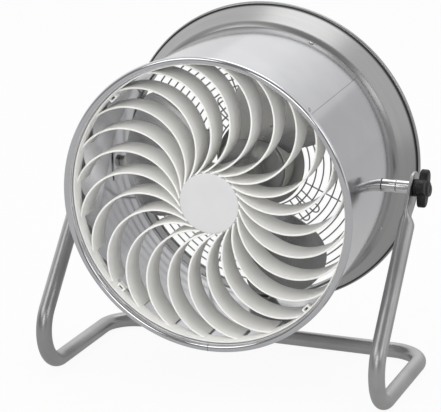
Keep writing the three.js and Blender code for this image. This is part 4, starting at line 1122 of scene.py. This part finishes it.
def star_knob(side, hand):
    layers = [(0.0, 2.0, 0), (0.5, 0.8, 0), (1.6, 0.0, 0), (9.8, 0.0, 0), (11.4, 0.5, 0), (12.4, 1.5, 0),
              (12.9, 3.0, 0), (13.0, 4.6, 0), (12.7, 13.2, 1), (13.1, 12.4, 1), (14.6, 11.4, 1),
              (15.3, 10.4, 1), (15.47, 9.0, 1), (15.4, 6.6, 1), (14.8, 6.0, 1), (14.7, 3.0, 1)]
    rings = []
    for rise, size, round_part in layers:
        ring = []
        for angle in np.linspace(0, 360, 120, endpoint=False):
            radius = size if round_part else star_radius(angle) - size
            turn = math.radians(angle)
            ring.append(Vector((hand * (KNOB_START + rise), hand * radius * math.cos(turn),
                                radius * math.sin(turn))))
        rings.append(ring)
    return loft(f"star_knob_{side}", rings, HEAD, 35)


def pivots():
    for side, hand in (("left", -1), ("right", 1)):
        place = HEAD @ Matrix.Rotation(math.radians(90 * hand), 4, "Z")
        nut = collar(f"weld_nut_{side}", NUT_START, NUT_LENGTH, SLEEVE_RADIUS, place)
        finished(nut, "head", "bell_steel", SLEEVE, f"pivot_nut_{side}")
        spacer = collar(f"spacer_{side}", SPACER_START, SPACER_LENGTH, SLEEVE_RADIUS, place)
        finished(spacer, "head", "bell_steel", SLEEVE, f"pivot_spacer_{side}")
        washer = collar(f"clamp_collar_{side}", WASHER_START, WASHER_THICKNESS, WASHER_RADIUS, place, 1.2)
        finished(washer, "stand", "black_plastic", BLACK, f"clamp_washer_{side}")
        finished(star_knob(side, hand), f"knob_{side}", "black_plastic", BLACK, f"tilt_knob_{side}")


# ---- stage
def floor():
    """A pale floor: nearly white to the camera, with shadows, and toned down where the metal mirrors it."""
    mesh = bpy.data.meshes.new("pale_floor")
    mesh.from_pydata([(-30, -30, 0), (30, -30, 0), (30, 30, 0), (-30, 30, 0)], [], [(0, 1, 2, 3)])
    obj = linked("pale_floor", mesh)
    material = bpy.data.materials.new("pale_floor")
    material.use_nodes = True
    shade = Tree(material.node_tree)
    shade.tree.nodes.clear()
    lit = shade.out("ShaderNodeBsdfDiffuse", Color=grey(FLOOR_GREY))
    seen, mirrored = ray_kinds(shade)
    x, y, _ = shade.split(shade.node("ShaderNodeTexCoord").outputs["Object"])
    far_left = y.step(0.55, 0.95) * x.step(-0.65, -0.2, 0.8, 0.0)
    tone = shade.blend(seen + mirrored * far_left, grey(FLOOR_MIRRORED), grey(1.0))
    glow = shade.out("ShaderNodeEmission", Color=tone, Strength=1.0)
    amount = seen * FLOOR_WHITE + mirrored * FLOOR_GLOW_MIRRORED
    mix = shade.node("ShaderNodeMixShader", {}, {0: amount, 1: lit, 2: glow})
    shade.node("ShaderNodeOutputMaterial", {}, {0: mix.outputs[0]})
    obj.data.materials.append(material)


def ray_kinds(shade):
    """Signals that are 1 for what the camera sees, and for what is seen in a reflection."""
    path = shade.node("ShaderNodeLightPath")
    camera_ray, through, glossy = [Signal(shade, path.outputs[f"Is {kind} Ray"])
                                   for kind in ("Camera", "Transmission", "Glossy")]
    return camera_ray + through, glossy


def world():
    """White behind the fan, darker in front of it, and shaded to the right as the drum shows it."""
    room = bpy.data.worlds.new("studio")
    bpy.context.scene.world = room
    room.use_nodes = True
    shade = Tree(room.node_tree)
    shade.tree.nodes.clear()
    x, y, z = shade.split(shade.node("ShaderNodeTexCoord").outputs["Generated"])
    behind = y.step(-0.5, 0.3, ROOM_FRONT, 1.0)
    panel = z.step(0.285, 0.30, 0.15, 0.0) + x.step(-0.15, 0.35, 0.0, 0.30)
    reflected = behind - panel * y.step(0.3, 0.6)
    seen, glossy = ray_kinds(shade)
    strength = seen + glossy * reflected + (1.0 - seen) * (1.0 - glossy) * ROOM_FILL
    sky = shade.out("ShaderNodeBackground", Color=grey(1.0), Strength=strength)
    shade.node("ShaderNodeOutputWorld", {}, {0: sky})


def lamp(name, place, aim, size, power):
    data = bpy.data.lights.new(name, "AREA")
    data.shape, data.size, data.energy = "DISK", size, power
    obj = linked(name, data)
    obj.location = place
    obj.rotation_mode = "QUATERNION"
    obj.rotation_quaternion = (Vector(aim) - Vector(place)).to_track_quat("-Z", "Y")


def camera():
    """The photograph's view: turned to the fan's right side, a little above it, from about 3 m."""
    turn, rise, roll = [math.radians(angle) for angle in (VIEW_TURN, VIEW_RISE, VIEW_ROLL)]
    back = Vector((math.sin(turn) * math.cos(rise), -math.cos(turn) * math.cos(rise), math.sin(rise)))
    right = Vector((math.cos(turn), math.sin(turn), 0))
    upward = back.cross(right)
    across = right * math.cos(roll) + upward * math.sin(roll)
    top = upward * math.cos(roll) - right * math.sin(roll)
    data = bpy.data.cameras.new("photo_view")
    data.lens, data.sensor_width, data.clip_end = VIEW_LENS, 36.0, 100.0
    obj = linked("photo_view", data)
    place = Vector(VIEW_AIM) + back * VIEW_DISTANCE
    obj.matrix_world = Matrix.Translation(place) @ Matrix((across, top, back)).transposed().to_4x4()
    bpy.context.scene.camera = obj


def dress(material, *names):
    """Gives CAD nodes that stay their finish."""
    for name in names:
        node = frame["nodes"][name]
        if not node.material_slots:
            node.data.materials.append(material)
        for place in node.material_slots:
            place.material = material


for build in (stand_tube, drum_shell, rear_bell, front_grille, hub_cap, rear_guard, fan_rotor, motor, bracket,
              switch_parts, screws, pivots):
    build()
dress(ZINC, "motor_shaft", "shaft_nut", "pivot_bolt_left", "pivot_bolt_right")
dress(SHEET_METAL, "pivot_doubler_left", "pivot_doubler_right")
floor()
world()
lamp("key_softbox", (-1.9, -2.6, 2.9), (0, 0, 0.3), 2.4, 24)
lamp("front_softbox", (0.5, -3.6, 1.5), (0, 0, 0.3), 1.8, 17)
lamp("right_softbox", (2.9, -1.6, 1.9), (0, 0, 0.3), 1.6, 10)
lamp("top_softbox", (0.2, 0.8, 3.0), (0, 0, 0.2), 2.2, 14)
camera()

bpy.context.scene.view_settings.view_transform = "Standard"
bpy.context.view_layer.update()
